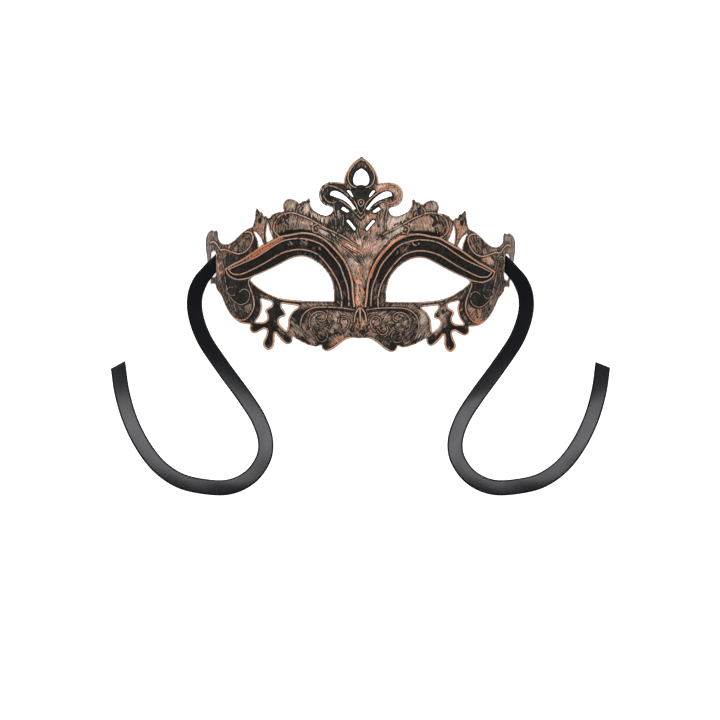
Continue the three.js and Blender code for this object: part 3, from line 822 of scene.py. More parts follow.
@dataclass(frozen=True)
class Wing(Ornament):
    """The wing at each temple: its scroll, its strip with a rivet, and the lily above it."""

    scroll_line: Line = (
        (-66.9, 13), (-65.2, 13.4), (-63.6, 12.6), (-62.5, 10), (-63.9, 5.8), (-66.7, 2.2),
        (-70.9, 0.6), (-75, 1.8), (-79.2, 3.2), (-81.3, 3), (-83.6, 6.1), (-85.7, 7.8),
        (-87.6, 7.1),
    )
    strip: Line = (
        (-83.9, -3), (-83.7, -0.3), (-82.6, 0.8), (-81, 0.1), (-80.4, -4), (-79.6, -8),
        (-79.2, -12.1), (-78.3, -16.9), (-77.6, -20.4),
    )
    ribs: tuple[Line, ...] = (
        ((-82.9, -10.5), (-82.6, -15), (-81, -20.5), (-78.6, -26), (-76.6, -31)),
        ((-81.2, -11.5), (-80.8, -16), (-79.6, -21), (-77.6, -26), (-75.2, -32)),
        ((-84, -9), (-84, -13), (-83, -18), (-81, -23), (-79, -28)),
    )
    rivet: Point = (-81.6, -7.5)
    lily_edges: tuple[Line, ...] = (
        ((-54.7, 18.2), (-55.9, 14.3), (-55.7, 10.4), (-54.8, 6.7)),
        ((-60.6, 13.6), (-58.6, 11.4), (-57, 8.6), (-56.4, 6)),
    )
    squiggles: tuple[Line, ...] = (
        ((-74.6, 3.4), (-73.6, 6), (-71.6, 7), (-70.8, 5.2)),
        ((-70.4, 8.2), (-68.6, 10.4), (-67, 9.6)),
        ((-68.8, 3.4), (-67.4, 6), (-66.4, 8.6)),
    )

    def beads(self) -> list[Bead]:
        """The raised lines."""
        x, y = self.rivet
        diamond = ((x, y + 1.6), (x - 0.8, y), (x, y - 1.6), (x + 0.8, y), (x, y + 1.6))
        made = [
            Bead(self.scroll_line, 0.52, 0.5, 0.85),
            Bead(self.strip, 0.45, 0.45, 0.6),
            Bead(diamond, 0.32, 0.35, 0.6),
            Bead(((-82.9, -2), (-82, -3.4), (-82.8, -4.4)), 0.34, 0.3, 0.5),
        ]
        made += [Bead(rib, 0.4, 0.25, 0.5) for rib in self.ribs]
        made += [Bead(line, 0.34, 0.2, 0.5) for line in self.squiggles]
        return made

    def cuts(self) -> list[Cut]:
        """The lily's dark heart and the grooves of its stem."""
        made = [Cut(((-58.6, 20.1), (-58.7, 19.3)), 1.25, 0.6)]
        made += [Cut(line, 0.4, 0.3) for line in self.lily_edges]
        made.append(Cut(((-62.3, 24), (-61.2, 22.4)), 0.5, 0.3))
        return made

    def panels(self) -> list[Panel]:
        """The sunk ground between the wing's scroll and the eye frame."""
        ground = ((-61.6, 9), (-62.8, 4.6), (-66, 1), (-71, -0.6), (-77, 0.8), (-79, -2),
                  (-78, -6.6), (-70, -2.6), (-62, 2.4), (-59.6, 4.6))
        return [Panel(ground, -0.4, 0.8, paint=((0.16, 0.2), (0.2, 0.35)))]


@dataclass(frozen=True)
class SideScroll(Ornament):
    """The big scroll under each wing with its spiral."""

    edge: Line = (
        (-64.4, -13.6), (-65.2, -16), (-64.1, -19.7), (-62.2, -25.7), (-62, -29.2),
        (-62.8, -32.4), (-66.3, -36.9), (-69.5, -37.8), (-72.6, -36.9), (-75.5, -36.3),
    )
    spiral: Line = (
        (-70.4, -21.6), (-68.8, -20.2), (-66.7, -20), (-64.8, -21.8), (-64.7, -24.8),
        (-66.2, -27.4), (-69.6, -28.8), (-73, -27.4), (-75.6, -24.6), (-78, -21.6),
        (-78.3, -19.7),
    )
    curl: Line = ((-77.6, -21.4), (-75.6, -23.4), (-73.6, -23.4), (-72.2, -21.6))
    tick: Line = ((-77.4, -19.4), (-75.8, -18.7), (-74.2, -18.6))
    folds: tuple[Line, ...] = (
        ((-72.6, -29.6), (-71, -33), (-69.4, -35)),
        ((-68.8, -29.8), (-68, -32.4), (-67, -34)),
        ((-75.4, -28), (-73.6, -32), (-71.8, -35)),
    )

    def beads(self) -> list[Bead]:
        """The raised lines."""
        made = [
            Bead(self.edge, 0.5, 0.55, 0.75),
            Bead(self.spiral, 0.33, 0.3, 0.75),
            Bead(self.curl, 0.32, 0.3, 0.6),
            Bead(self.tick, 0.32, 0.3, 0.6),
            Bead(arc(-71.4, -26.4, (1.6, 0.9), 0, 200, 7), 0.3, 0.2, 0.3),
        ]
        made += [Bead(fold, 0.4, 0.2, 0.2) for fold in self.folds]
        return made

    def cuts(self) -> list[Cut]:
        """The groove outside the scroll's edge."""
        return [Cut(((-61, -24), (-60.9, -29), (-61.8, -33), (-65.4, -37.8)), 0.4, 0.2)]

    def panels(self) -> list[Panel]:
        """The scroll's hollow face, and the dark band outside its edge."""
        face = ((-65.5, -15), (-64.8, -20), (-63.2, -25.7), (-64.5, -28.5), (-68, -30),
                (-72, -29), (-75.5, -25), (-77.8, -20), (-78, -14), (-76, -12.6), (-70, -15.2))
        band = ((-63.6, -13.6), (-60, -16.5), (-56.6, -20), (-58, -24), (-58.4, -30), (-61, -36),
                (-66, -40), (-69, -38.6), (-65.8, -37), (-62.2, -32.8), (-61.4, -29),
                (-61.8, -25), (-64, -19), (-64.8, -16))
        return [Panel(face, -0.4, 2.2, paint=((0.02, 0.3), (0.12, 0.35))),
                Panel(band, -0.1, 1.0, paint=((0.2, 0.6), (0.4, 0.6)))]


@dataclass(frozen=True)
class Cheek(Ornament):
    """The cheek plate with its rim and curls, and the palmette at the foot of the nose."""

    rim: Line = (
        (-4.5, -31.9), (-10.5, -30.9), (-20.9, -30.3), (-26.8, -30.6), (-30.4, -32),
        (-33.6, -35), (-34.9, -39), (-35, -41.6), (-33.8, -44.6), (-31.6, -47.6),
    )
    big_curl: Line = (
        (-29.6, -41.6), (-29.9, -38.1), (-29, -35.6), (-26.5, -33.4), (-22.6, -33),
        (-20.2, -34.8), (-20.3, -37), (-22.1, -38.4), (-24.4, -38),
    )
    small_curl: Line = (
        (-13, -39.4), (-12.6, -36.9), (-10.9, -35.7), (-8.6, -36), (-7, -38), (-7.4, -41.2),
        (-10, -44.4),
    )
    hooks: tuple[Line, ...] = (
        ((-18.4, -42.6), (-17.4, -40.4), (-15.8, -39.2)),
        ((-26.6, -45.6), (-27.4, -43), (-26.2, -41.2), (-24.4, -41.4)),
        ((-14.6, -44.6), (-12.4, -43), (-11.6, -41)),
        ((-22.6, -42.4), (-21, -40.6), (-18.8, -40.4)),
    )
    foot_ring: Point = (-22.8, -47)
    palmette: Line = (
        (-3.8, -38.9), (-3.6, -36), (-2.6, -33), (-0.4, -30.9), (1.8, -33), (2.8, -36),
        (3, -38.9),
    )

    def beads(self) -> list[Bead]:
        """The raised lines."""
        x, y = self.foot_ring
        made = [
            Bead(self.rim, 0.45, 0.5, 0.72, 0.75),
            Bead(self.big_curl, 0.38, 0.36, 0.7),
            Bead(self.small_curl, 0.38, 0.36, 0.7),
            Bead(arc(x, y, (3.6, 3.2), 150, -330, 15), 0.36, 0.3, 0.55),
            Bead(arc(x - 0.3, y, (1.9, 1.1), 60, -300, 9), 0.3, 0.25, 0.25),
            Bead(self.palmette, 0.45, 0.4, 0.9, halves=Halves.AS_READ),
            Bead(((-0.5, -32), (-0.4, -38.4)), 0.55, 0.35, 1.0, halves=Halves.AS_READ),
            Bead(arc(9.2, -38.4, (3.6, 4), 150, 150, 9), 0.36, 0.3, 0.6, halves=Halves.AS_READ),
            Bead(arc(12.6, -43.2, (2.8, 3.2), 40, -200, 9), 0.38, 0.3, 0.7,
                 halves=Halves.AS_READ),
        ]
        made += [Bead(hook, 0.34, 0.3, 0.6) for hook in self.hooks]
        made += [Bead(arc(22, -41, (r, r + 1), 50, -110, 9), 0.3, 0.12, 0.25,
                      halves=Halves.AS_READ) for r in (5.5, 7.5, 9.5)]
        return made

    def cuts(self) -> list[Cut]:
        """Black beside the rim and in the palmette, painted shade in the foot ring and inside the
        curls, and streaks on the outer cheek.
        """
        beside_rim = ((-5.6, -33.2), (-12, -32.2), (-20.6, -31.7), (-26.6, -32), (-29.4, -33.4))
        made = [Cut(beside_rim, 0.45, 0.25)]
        made += cuts_as_read(
            (0.5, 0.3, ((-2.1, -34.6), (-2.2, -36.6))),
            (0.45, 0.3, ((-2.6, -37.8), (-2.9, -39))),
            (0.55, 0.3, ((1.1, -33.8), (1.3, -36.2), (1.6, -37.6))),
            (1.1, 0.5, ((-0.2, -44.8), (1.6, -44.6), (1, -45.8))),
            (0.45, 0.3, ((-4.6, -43.8), (-3.4, -44.8))),
            (0.4, 0.3, ((-2.6, -42.6), (-2.2, -44))),
            (0.4, 0.3, ((3.6, -43.4), (4.6, -44.6))),
        )
        made += [
            Cut(((-6.4, -43), (-5, -44.6)), 0.5, 0.25),
            Cut(((-4.6, -41), (-5.4, -42.4)), 0.4, 0.25),
            # This cut and the next two paint shade: in the foot ring and inside the big and the
            # small curl.
            Cut(((-23.8, -46.4), (-22.4, -48)), 0.5, 0.3),
            Cut(((-26.2, -37.6), (-25.4, -35.8), (-23.2, -35)), 0.4, 0.25),
            Cut(((-10.6, -37.6), (-9, -37.4)), 0.4, 0.25),
            Cut(((-27.2, -43.4), (-25.4, -45.2)), 0.5, 0.3),
            Cut(((-15.6, -46), (-13, -45.2), (-11.6, -46.4)), 0.6, 0.3),
        ]
        made += [Cut(((-38.6 + 2.1 * i, -44.6 - 1.5 * i), (-36.6 + 2.1 * i, -48.6 - 1.2 * i)),
                     0.4, 0.2) for i in range(4)]
        return made

    def panels(self) -> list[Panel]:
        """The cheek's plate, a little puffed inside its rim."""
        plate = ((-5, -33), (-20.9, -31.4), (-28, -32.4), (-33, -37), (-33.4, -42), (-29, -48),
                 (-20, -50), (-12, -46), (-5, -43))
        return [Panel(plate, 0.4, 2.5)]


@dataclass(frozen=True)
class Pendant(Ornament):
    """The drops that hang from each side, sunk and black inside a raised edge."""

    rib: Line = ((-51.6, -35.4), (-49.8, -38.6), (-46.4, -43.6), (-43.4, -47.4))

    def beads(self) -> list[Bead]:
        """A soft rib from the top node down the nearest drop."""
        return [Bead(self.rib, 0.9, 0.4, 0.2)]

    def cuts(self) -> list[Cut]:
        """The sunk middles of the node and the drops."""
        return [
            *cuts_as_read((1.6, 0.35, ((-49.4, -29.4), (-49.2, -33.4))),
                          (0.8, 0.35, ((47.4, -32.2), (47.6, -33.6)))),
            Cut(((-54.4, -41.4), (-61.6, -42.2)), 1.0, 0.35),
            Cut(((-53.6, -44), (-53.9, -51.4)), 1.0, 0.35),
            Cut(((-43, -48.4), (-42.4, -49.6)), 0.8, 0.3),
        ]


# Paint


@dataclass(frozen=True)
class Patch:
    """A soft oval where the dry brush was used more or less. The two pairs are, for the left
    and the right half, how much of the ground is covered and how much of that is copper. The
    core is the share of the radius within which it holds fully."""

    x: float
    y: float
    radius: float
    left: Point
    right: Point
    stretch: float = 1.0
    turn: float = 0.0
    core: float = 4 / 9

    def share(self, x: np.ndarray, y: np.ndarray) -> np.ndarray:
        """How much the patch holds at each point.

        Args:
            x: Distances from the patch's own half's middle plane, as negative numbers.
            y: Heights on the face.

        Returns:
            Shares from 0 to 1.
        """
        u, v = turned(x - self.x, y - self.y, self.turn)
        return dome(np.hypot(u, v * self.stretch) / self.radius, self.core)


@dataclass(frozen=True)
class RimPaint:
    """A round area where the rims have their own copper tone, left and right, and width."""

    x: float
    y: float
    radius: float
    left: float
    right: float
    width: float = 0.45


@dataclass(frozen=True)
class Stroke:
    """The lean of the brush near a place, in degrees, towards the middle at its foot."""

    x: float
    y: float
    degrees: float


@dataclass(frozen=True)
class Brushwork:
    """Where and how the mask was dry brushed, with one patch of painted shade in a hollow. The
    paint of the left half turns into that of the right one within the seam. The nose's top and
    foot are each a height and the length over which the brush's turn at the nose fades there."""

    ground: Point = (0.5, 0.35)
    seam: float = 3
    rim_tone: float = 0.6
    rim_width: float = 0.75
    rim_core: float = 2 / 3
    patches: tuple[Patch, ...] = (
        Patch(-20, 35, 9, (0.28, 0.1), (0.88, 0.66)),
        Patch(-13, 39, 7, (0.12, 0.1), (0.86, 0.8), 1.8, -18),
        # Painted shade in the hollow at the crown scroll's inner end.
        Patch(-17.5, 34, 3.5, (0.12, 0.1), (0.3, 0.3)),
        Patch(0, 48, 11, (0.42, 0.55), (0.42, 0.55)),
        Patch(0, 33, 8.5, (0.0, 0.2), (0.0, 0.2)),
        Patch(-8.5, 26.5, 5.5, (0.12, 0.2), (0.4, 0.45)),
        Patch(-8, 18, 8, (0.26, 0.35), (0.68, 0.6)),
        Patch(0, 13, 7, (0.45, 0.5), (0.55, 0.6)),
        Patch(-23, 20, 9, (0.7, 0.12), (0.84, 0.2)),
        Patch(-16.5, 17, 4, (0.2, 0.1), (0.85, 0.35)),
        Patch(-40, 28, 7, (0.68, 0.3), (0.68, 0.35)),
        Patch(-38, 18, 11, (0.58, 0.3), (0.68, 0.5), 1.2),
        Patch(-28, 18, 6, (0.68, 0.1), (0.62, 0.4)),
        Patch(-38, 13.2, 11, (0.1, 0.2), (0.15, 0.2), 6.5, 3),
        Patch(-56, 14, 9, (0.66, 0.6), (0.7, 0.85)),
        Patch(-72, 6, 10, (0.56, 0.45), (0.56, 0.4)),
        Patch(-85, 6, 8, (0.42, 0.4), (0.45, 0.45)),
        Patch(-70, -1.4, 9, (0.14, 0.15), (0.15, 0.2), 2.4, 25),
        Patch(-61, 7, 5, (0.03, 0.1), (0.03, 0.1), 1.8, 80),
        Patch(-78.5, -14, 8, (0.12, 0.3), (0.44, 0.4), 2.6, 90),
        Patch(-82.4, -9, 9, (0.78, 0.6), (0.46, 0.35), 2.6, 90),
        Patch(-80, -25, 11, (0.56, 0.3), (0.76, 0.35), 2.8, -65),
        Patch(-68, -33, 7, (0.52, 0.3), (0.62, 0.7), 1.3, 20),
        Patch(-9, 5, 6, (0.78, 0.45), (0.78, 0.55)),
        Patch(-5, -8, 8, (0.72, 0.35), (0.75, 0.45), 1.6, 90),
        Patch(0, 4, 6, (0.75, 0.85), (0.75, 0.75)),
        Patch(0, -12, 8, (0.56, 0.7), (0.6, 0.65), 1.8, 90),
        Patch(0, -25, 8, (0.54, 0.92), (0.54, 0.92), 1.6, 90),
        Patch(-12, -40, 9, (0.64, 0.5), (0.66, 0.45)),
        Patch(-25, -42, 9, (0.58, 0.35), (0.64, 0.35)),
        Patch(-36, -36, 5.5, (0.1, 0.1), (0.84, 0.2)),
        Patch(-37, -45, 6, (0.66, 0.2), (0.7, 0.2)),
        Patch(0, -42, 6, (0.5, 0.6), (0.5, 0.6)),
        Patch(-14, -52, 5, (0.5, 0.8), (0.2, 0.4)),
        Patch(-22, -52, 5, (0.12, 0.3), (0.12, 0.3)),
        Patch(-33.5, -34, 4.5, (0.02, 0.1), (0.5, 0.2), 1.5, 60),
        Patch(-26, -28.4, 10, (0.55, 0.15), (0.6, 0.25), 4.5, 0),
        Patch(-54, -21.6, 12, (0.08, 0.3), (0.36, 0.3), 5, -36),
        Patch(-41.5, -27.6, 9, (0.02, 0.3), (0.5, 0.3), 6, -7),
        Patch(-53, -40, 17, (0.0, 0.2), (0.0, 0.2), 1.3, 60),
        Patch(-47, -42.5, 8, (0.6, 0.15), (0.5, 0.2), 3.6, -57),
        Patch(-43, -48.6, 2.5, (0.1, 0.2), (0.05, 0.2)),
    )
    touches: tuple[Patch, ...] = (
        Patch(-11.5, -22, 11, (0.36, 0.35), (0.5, 0.3), 1.8, 82),
        Patch(-58.5, 2.1, 17, (0.72, 1.05), (0.08, 0.5), 6, 29),
        Patch(-74.4, -1.4, 5.5, (0.18, 0.3), (0.8, 0.95), 1.8, 27),
        Patch(-70, -37.2, 4.6, (0.42, 0.6), (0.82, 1.0), 1.5, 0),
        Patch(-70.4, -33.8, 4, (0.42, 0.4), (0.72, 0.95), 2.4, 84),
        Patch(-49.4, -31.5, 6, (0.0, 0.2), (0.62, 0.3)),
        Patch(-49.2, -37.6, 6, (0.04, 0.2), (0.66, 0.5), 1.8, 84),
        Patch(-46.4, -42.6, 5, (0.6, 0.15), (0.68, 0.3), 2.4, -57),
        Patch(-42.6, -48, 3.4, (0.2, 0.1), (0.1, 0.1), 1.6, -57),
        Patch(-13, -49, 5, (0.8, 0.95), (0.3, 0.5), 2, 38),
        Patch(-17, 9, 6, (0.55, 0.1), (0.85, 0.3), 2, -32),
        Patch(-33, 6.6, 3.6, (0.6, 0.05), (0.15, 0.3)),
        Patch(-40.6, 6.4, 2.4, (0.55, 0.05), (0.05, 0.3)),
        Patch(-25.2, 3.6, 4, (0.3, 0.1), (0.62, 0.4)),
        Patch(-3.4, -38.6, 3.4, (0.5, 0.5), (0.85, 0.85), 1.4, 90),
        Patch(-13.4, 28.4, 3.4, (0.04, 0.2), (0.7, 0.4)),
        Patch(-31.5, 27, 4, (0.7, 0.12), (0.66, 0.2), 1.5, 70),
        Patch(-7.6, 5.6, 7, (0.8, 0.84), (0.76, 0.5), 2.2, -35),
        Patch(-22, 14.2, 4, (0.98, 0.02), (0.9, 0.2), 1.6, -30),
    )
    rims: tuple[RimPaint, ...] = (
        RimPaint(-22, 20, 9, 0.25, 0.3),
        RimPaint(-22, 36, 9, 0.5, 0.7, 1.3),
        RimPaint(-6, 46, 12, 0.8, 0.8, 0.95),
        RimPaint(-54, -41, 18, 0.9, 1.0, 1.25),
        RimPaint(-42, -28, 10, 0.85, 0.65, 1.1),
        RimPaint(-66, -38, 11, 0.95, 1.0, 0.95),
        RimPaint(-13, -51, 9, 1.0, 0.65, 1.25),
        RimPaint(-45, -8, 20, 0.8, 0.8, 0.8),
    )
    crown_above: float = 14
    crown_half_width: float = 22
    crown_hole: float = 0.6
    teardrop_above: float = 40
    teardrop_hole: float = 1.2
    nose_stroke: float = 4.0
    nose_top: Point = (12, 10)
    nose_foot: Point = (-34, 6)
    stroke_area: float = 120
    stroke_seam: float = 5
    strokes: tuple[Stroke, ...] = (
        Stroke(0, 40, 0), Stroke(8, 22, 0), Stroke(22, 20, 28), Stroke(35, 18, -12),
        Stroke(46, 16, 10), Stroke(40, 28, -6), Stroke(58, 15, 6), Stroke(72, 6, -25),
        Stroke(86, 4, 0), Stroke(82, -18, 14), Stroke(72, -31, 28), Stroke(6, 2, 45),
        Stroke(4, -10, 38), Stroke(5, -24, 22), Stroke(12, -40, 42), Stroke(28, -42, 42),
        Stroke(38, -44, 30), Stroke(50, -42, 40),
    )

    def directions(self, x: np.ndarray, y: np.ndarray) -> np.ndarray:
        """The lean of the brush at each point, in degrees, positive towards the right."""
        total, weight = np.zeros(len(x)), np.full(len(x), 1e-6)
        for stroke in self.strokes:
            off = (np.abs(x) - stroke.x) ** 2 + (y - stroke.y) ** 2
            near = np.exp(-off / self.stroke_area)
            total += stroke.degrees * near
            weight += near
        (top, top_fade), (foot, foot_fade) = self.nose_top, self.nose_foot
        turns_at = (self.nose_stroke * smooth_step((top - y) / top_fade)
                    * smooth_step((y - foot) / foot_fade))
        return np.clip((x - turns_at) / self.stroke_seam, -1, 1) * total / weight


# The moulded shell


@dataclass
class Skin:
    """Numbers for each point of the mask's front: relief and paint. The three distances are
    from the nearest bead's side, cut's side and rim's paint, and are negative inside it."""

    height: np.ndarray
    rub: np.ndarray
    warm: np.ndarray
    brush: np.ndarray
    bead: np.ndarray
    bead_tone: np.ndarray
    cut: np.ndarray
    rim: np.ndarray
    rim_tone: np.ndarray

    def numbers(self, far: float) -> dict[str, tuple[np.ndarray, float]]:
        """Each attribute's name, its values on the front and its value on the back.

        Args:
            far: The distance that stands for nothing near.

        Returns:
            The values by name.
        """
        return {
            "rub": (self.rub, -0.6), "warm": (self.warm, 0.0), "brush": (self.brush, 0.0),
            "bead": (self.bead, far), "bead_tone": (self.bead_tone, 0.0),
            "cut": (self.cut, far), "rim": (self.rim, far), "rim_tone": (self.rim_tone, 0.0),
        }


@dataclass
class MaskShell:
    """The mask in one moulded piece. Sizes are in millimetres."""

    face: PlainFace = field(default_factory=PlainFace)
    brushwork: Brushwork = field(default_factory=Brushwork)
    reading_tilt: float = 0.011
    reading_shift: float = 0.35
    rim_spacing: float = 0.42
    line_spacing: float = 0.5
    rim_rows: Point = (0.4, 0.85)
    rim_clear: float = 0.2
    lattice: float = 0.62
    jitter: float = 0.03
    seed: int = 7
    back_clear: float = 0.6
    back_lattice: float = 2.0
    back_jitter: float = 0.2
    back_seed: int = 3
    back_depth: float = -2.0
    least_gap: float = 0.27
    least_front: float = 0.45
    most_stretch: float = 2.0
    edge_round: float = 0.5
    rim_raised: float = 0.22
    rim_band: float = 0.9
    unevenness: float = 0.07
    broad_scale: Point = (0.55, 0.3)
    fine_scale: Point = (1.3, 0.9)
    fine_share: float = 0.6
    flank: float = 1.35
    groove_depth: float = 0.12
    groove_middle: float = 0.35
    groove_reach: float = 0.5
    cut_stops_at: float = 0.1
    paint_soft: float = 0.8
    reach: float = 2.5
    ornament: tuple[Ornament, ...] = (
        EyeFrame(), Crown(), Brow(), Wing(), SideScroll(), Cheek(), Pendant(),
    )

    def upright(self, points: Line) -> np.ndarray:
        """Turns points that were read on the leaning mask upright."""
        x, y = np.asarray(points, float).T
        return np.column_stack([x + self.reading_shift - self.reading_tilt * y,
                                y + self.reading_tilt * (x + self.reading_shift)])

    def on_halves(self, points: Line, halves: Halves) -> list[np.ndarray]:
        """A read line as it is, and mirrored too if it is on both halves."""
        read = self.upright(points)
        return [read, read * (-1, 1)] if halves is Halves.BOTH else [read]

    def rims(self) -> list[np.ndarray]:
        """The outline and the holes, as smooth rings, from the CAD shell's upper rim.

        Returns:
            The rings in the front view, the outline first.
        """
        mesh = bmesh.new()
        mesh.from_mesh(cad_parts["mask_shell"].data)
        bmesh.ops.remove_doubles(mesh, verts=mesh.verts, dist=1e-6)
        mesh.normal_update()
        upright, follows = 0.02, {}
        for edge in mesh.edges:
            faces = sorted(edge.link_faces, key=lambda each: abs(each.normal.z))
            if len(faces) == 2 and abs(faces[0].normal.z) < upright < faces[1].normal.z:
                for a, b in (edge.verts, reversed(edge.verts)):
                    follows.setdefault(a.index, []).append(b.index)
        mesh.verts.ensure_lookup_table()
        places = {i: np.array(mesh.verts[i].co[:2]) / MM for i in follows}
        mesh.free()
        rings = []
        while follows:
            start = previous = next(iter(follows))
            ring, here = [start], follows[start][0]
            while here != start:
                ring.append(here)
                one, two = follows[here]
                previous, here = here, two if one == previous else one
            for index in ring:
                del follows[index]
            rings.append(np.array([places[index] for index in ring]))
        rings.sort(key=len, reverse=True)
        return [curve_through(ring, self.rim_spacing, closed=True) for ring in rings]

    def lines(self, what: str) -> list[tuple[Any, np.ndarray]]:
        """Every bead or cut with its curve on the flat face, one for each half.

        Args:
            what: Which of the ornament's methods gives them.

        Returns:
            Pairs of an ornament and its curve.
        """
        made = []
        for group in self.ornament:
            for each in getattr(group, what)():
                for half in self.on_halves(each.points, each.halves):
                    curve = curve_through(half, self.line_spacing)
                    made.append((each, self.face.unroll(curve)))
        return made

    def front_points(self, rings: list[np.ndarray],
                     lines: list[tuple[Any, np.ndarray]]) -> np.ndarray:
        """Points for the front on the flat face: along the lines, the rims and between.

        Args:
            rings: The rims on the flat face.
            lines: The beads and cuts on the flat face.

        Returns:
            The points inside the rims, none too close to another.
        """
        wanted = [offset_line(line, side) for each, line in lines
                  for side in (0, each.half_width, -each.half_width)]
        wanted += [offset_line(ring, side)[::2] for ring in rings
                   for row in self.rim_rows for side in (row, -row)]
        low, high = rings[0].min(0), rings[0].max(0)
        rows = np.arange(low[1], high[1], self.lattice * math.sqrt(0.75))
        columns = np.arange(low[0], high[0], self.lattice)
        for i, y in enumerate(rows):
            shift = (i % 2) * self.lattice / 2
            wanted.append(np.column_stack([columns + shift, np.full(len(columns), y)]))
        wanted = np.vstack(wanted)
        wanted = self.scattered(wanted, rings, self.jitter, self.seed, self.rim_clear)
        return self.thinned(wanted, self.least_gap)

    @classmethod
    def scattered(cls, points: np.ndarray, rings: list[np.ndarray], jitter: float, seed: int,
                  gap: float) -> np.ndarray:
        """Moves points a little at random and keeps those that are well inside the rims.

        Args:
            points: The points on the flat face.
            rings: The rims on the flat face.
            jitter: How far a point may move each way.
            seed: The seed for the moves.
            gap: How far from a rim a point has to be.

        Returns:
            The points that are kept.
        """
        moved = points + np.random.default_rng(seed).uniform(-jitter, jitter, points.shape)
        moved = moved[inside_rings(moved, rings)]
        return moved[cls.clear_of(moved, rings, gap)]

    @staticmethod
    def clear_of(points: np.ndarray, rings: list[np.ndarray], gap: float) -> np.ndarray:
        """Which points are further from every ring than a gap."""
        clear = np.ones(len(points), bool)
        for ring in rings:
            clear &= nearest_on_line(points, closed_line(ring), gap * 1.1)[0] > gap
        return clear

    @staticmethod
    def thinned(points: np.ndarray, gap: float) -> np.ndarray:
        """Points without those that follow too close to an earlier one."""
        kept: dict[tuple[int, int], list[int]] = {}
        chosen = []
        cells = np.floor(points / gap).astype(int).tolist()
        places = points.tolist()
        for index, (i, j) in enumerate(cells):
            x, y = places[index]
            near = [places[other] for di in (-1, 0, 1) for dj in (-1, 0, 1)
                    for other in kept.get((i + di, j + dj), ())]
            if all((a - x) ** 2 + (b - y) ** 2 > gap * gap for a, b in near):
                kept.setdefault((i, j), []).append(index)
                chosen.append(index)
        return points[chosen]

    @staticmethod
    def triangles(rings: list[np.ndarray], inner: np.ndarray) -> tuple[np.ndarray, np.ndarray]:
        """Fills the flat face with triangles.

        Args:
            rings: The rims on the flat face.
            inner: Points between the rims.

        Returns:
            The points, those of the rims first, and the triangles.
        """
        points = np.vstack([*rings, inner])
        edges, first = [], 0
        for ring in rings:
            count = len(ring)
            edges += [(first + i, first + (i + 1) % count) for i in range(count)]
            first += count
        made = delaunay_2d_cdt([Vector(point) for point in points], edges, [], 0, 1e-7, False)
        if len(made[0]) != len(points):
            raise ValueError("the rims cross or touch")
        faces = np.array(made[2])
        faces = faces[inside_rings(points[faces].mean(1), rings)]
        a, b, c = (points[faces[:, i]] for i in range(3))
        turn = (b - a)[:, 0] * (c - a)[:, 1] - (b - a)[:, 1] * (c - a)[:, 0]
        faces[turn < 0] = faces[turn < 0][:, ::-1]
        return points, faces

    def brush_on(self, patches: tuple[Patch, ...], front: np.ndarray, rub: np.ndarray,
                 warm: np.ndarray) -> None:
        """Brings patches of paint into the two areas' numbers.

        Args:
            patches: The patches, of which a later one lies over an earlier one.
            front: The points in the front view.
            rub: How much of the ground is covered at each point, which is changed.
            warm: How much of that is copper, which is changed.
        """
        x, y = front.T
        right = smooth_step(x / self.brushwork.seam + 0.5)
        for patch in patches:
            centre = self.upright([(patch.x, patch.y)])[0]
            placed = replace(patch, x=centre[0], y=centre[1])
            share = np.where(patch.x == 0, np.maximum(placed.share(x, y), placed.share(-x, y)),
                             placed.share(-np.abs(x), y))
            aim = [a + (b - a) * right for a, b in zip(patch.left, patch.right)]
            rub += (aim[0] - rub) * share
            warm += (aim[1] - warm) * share

    def rim_paint(self, flat: np.ndarray, front: np.ndarray,
                  rings: list[np.ndarray]) -> tuple[np.ndarray, np.ndarray, np.ndarray]:
        """The paint of the rims.

        Args:
            flat: The points on the flat face.
            front: The same points in the front view.
            rings: The rims on the flat face.

        Returns:
            The distances from the rims, those from the rims' paint, and its tone.
        """
        x, y = front.T
        brush = self.brushwork
        width, tone = np.full(len(x), brush.rim_width), np.full(len(x), brush.rim_tone)
        for area in brush.rims:
            centre = self.upright([(area.x, area.y)])[0]
            away = np.hypot(np.abs(x) + centre[0], y - centre[1]) / area.radius
            share = dome(away, brush.rim_core)
            width += (area.width - width) * share
            tone += (np.where(x > 0, area.right, area.left) - tone) * share
        edge = np.full(len(x), self.reach)
        for ring in rings:
            off = nearest_on_line(flat, closed_line(ring), self.reach)[0]
            along, up = ring.mean(0)
            in_crown = up > brush.crown_above and abs(along) < brush.crown_half_width
            if ring is not rings[0] and in_crown:
                nearer, teardrop = off < edge, up > brush.teardrop_above
                tone[nearer] = 0.0
                width[nearer] = brush.teardrop_hole if teardrop else brush.crown_hole
            edge = np.minimum(edge, off)
        return edge, edge - width, tone

    def rounded(self, off: np.ndarray, half_width: float) -> np.ndarray:
        """A round profile, from 1 on a line to 0 a little past its half width."""
        share = np.clip(1 - off / (self.flank * half_width), 0, 1)
        return 0.5 - 0.5 * np.cos(math.pi * share)

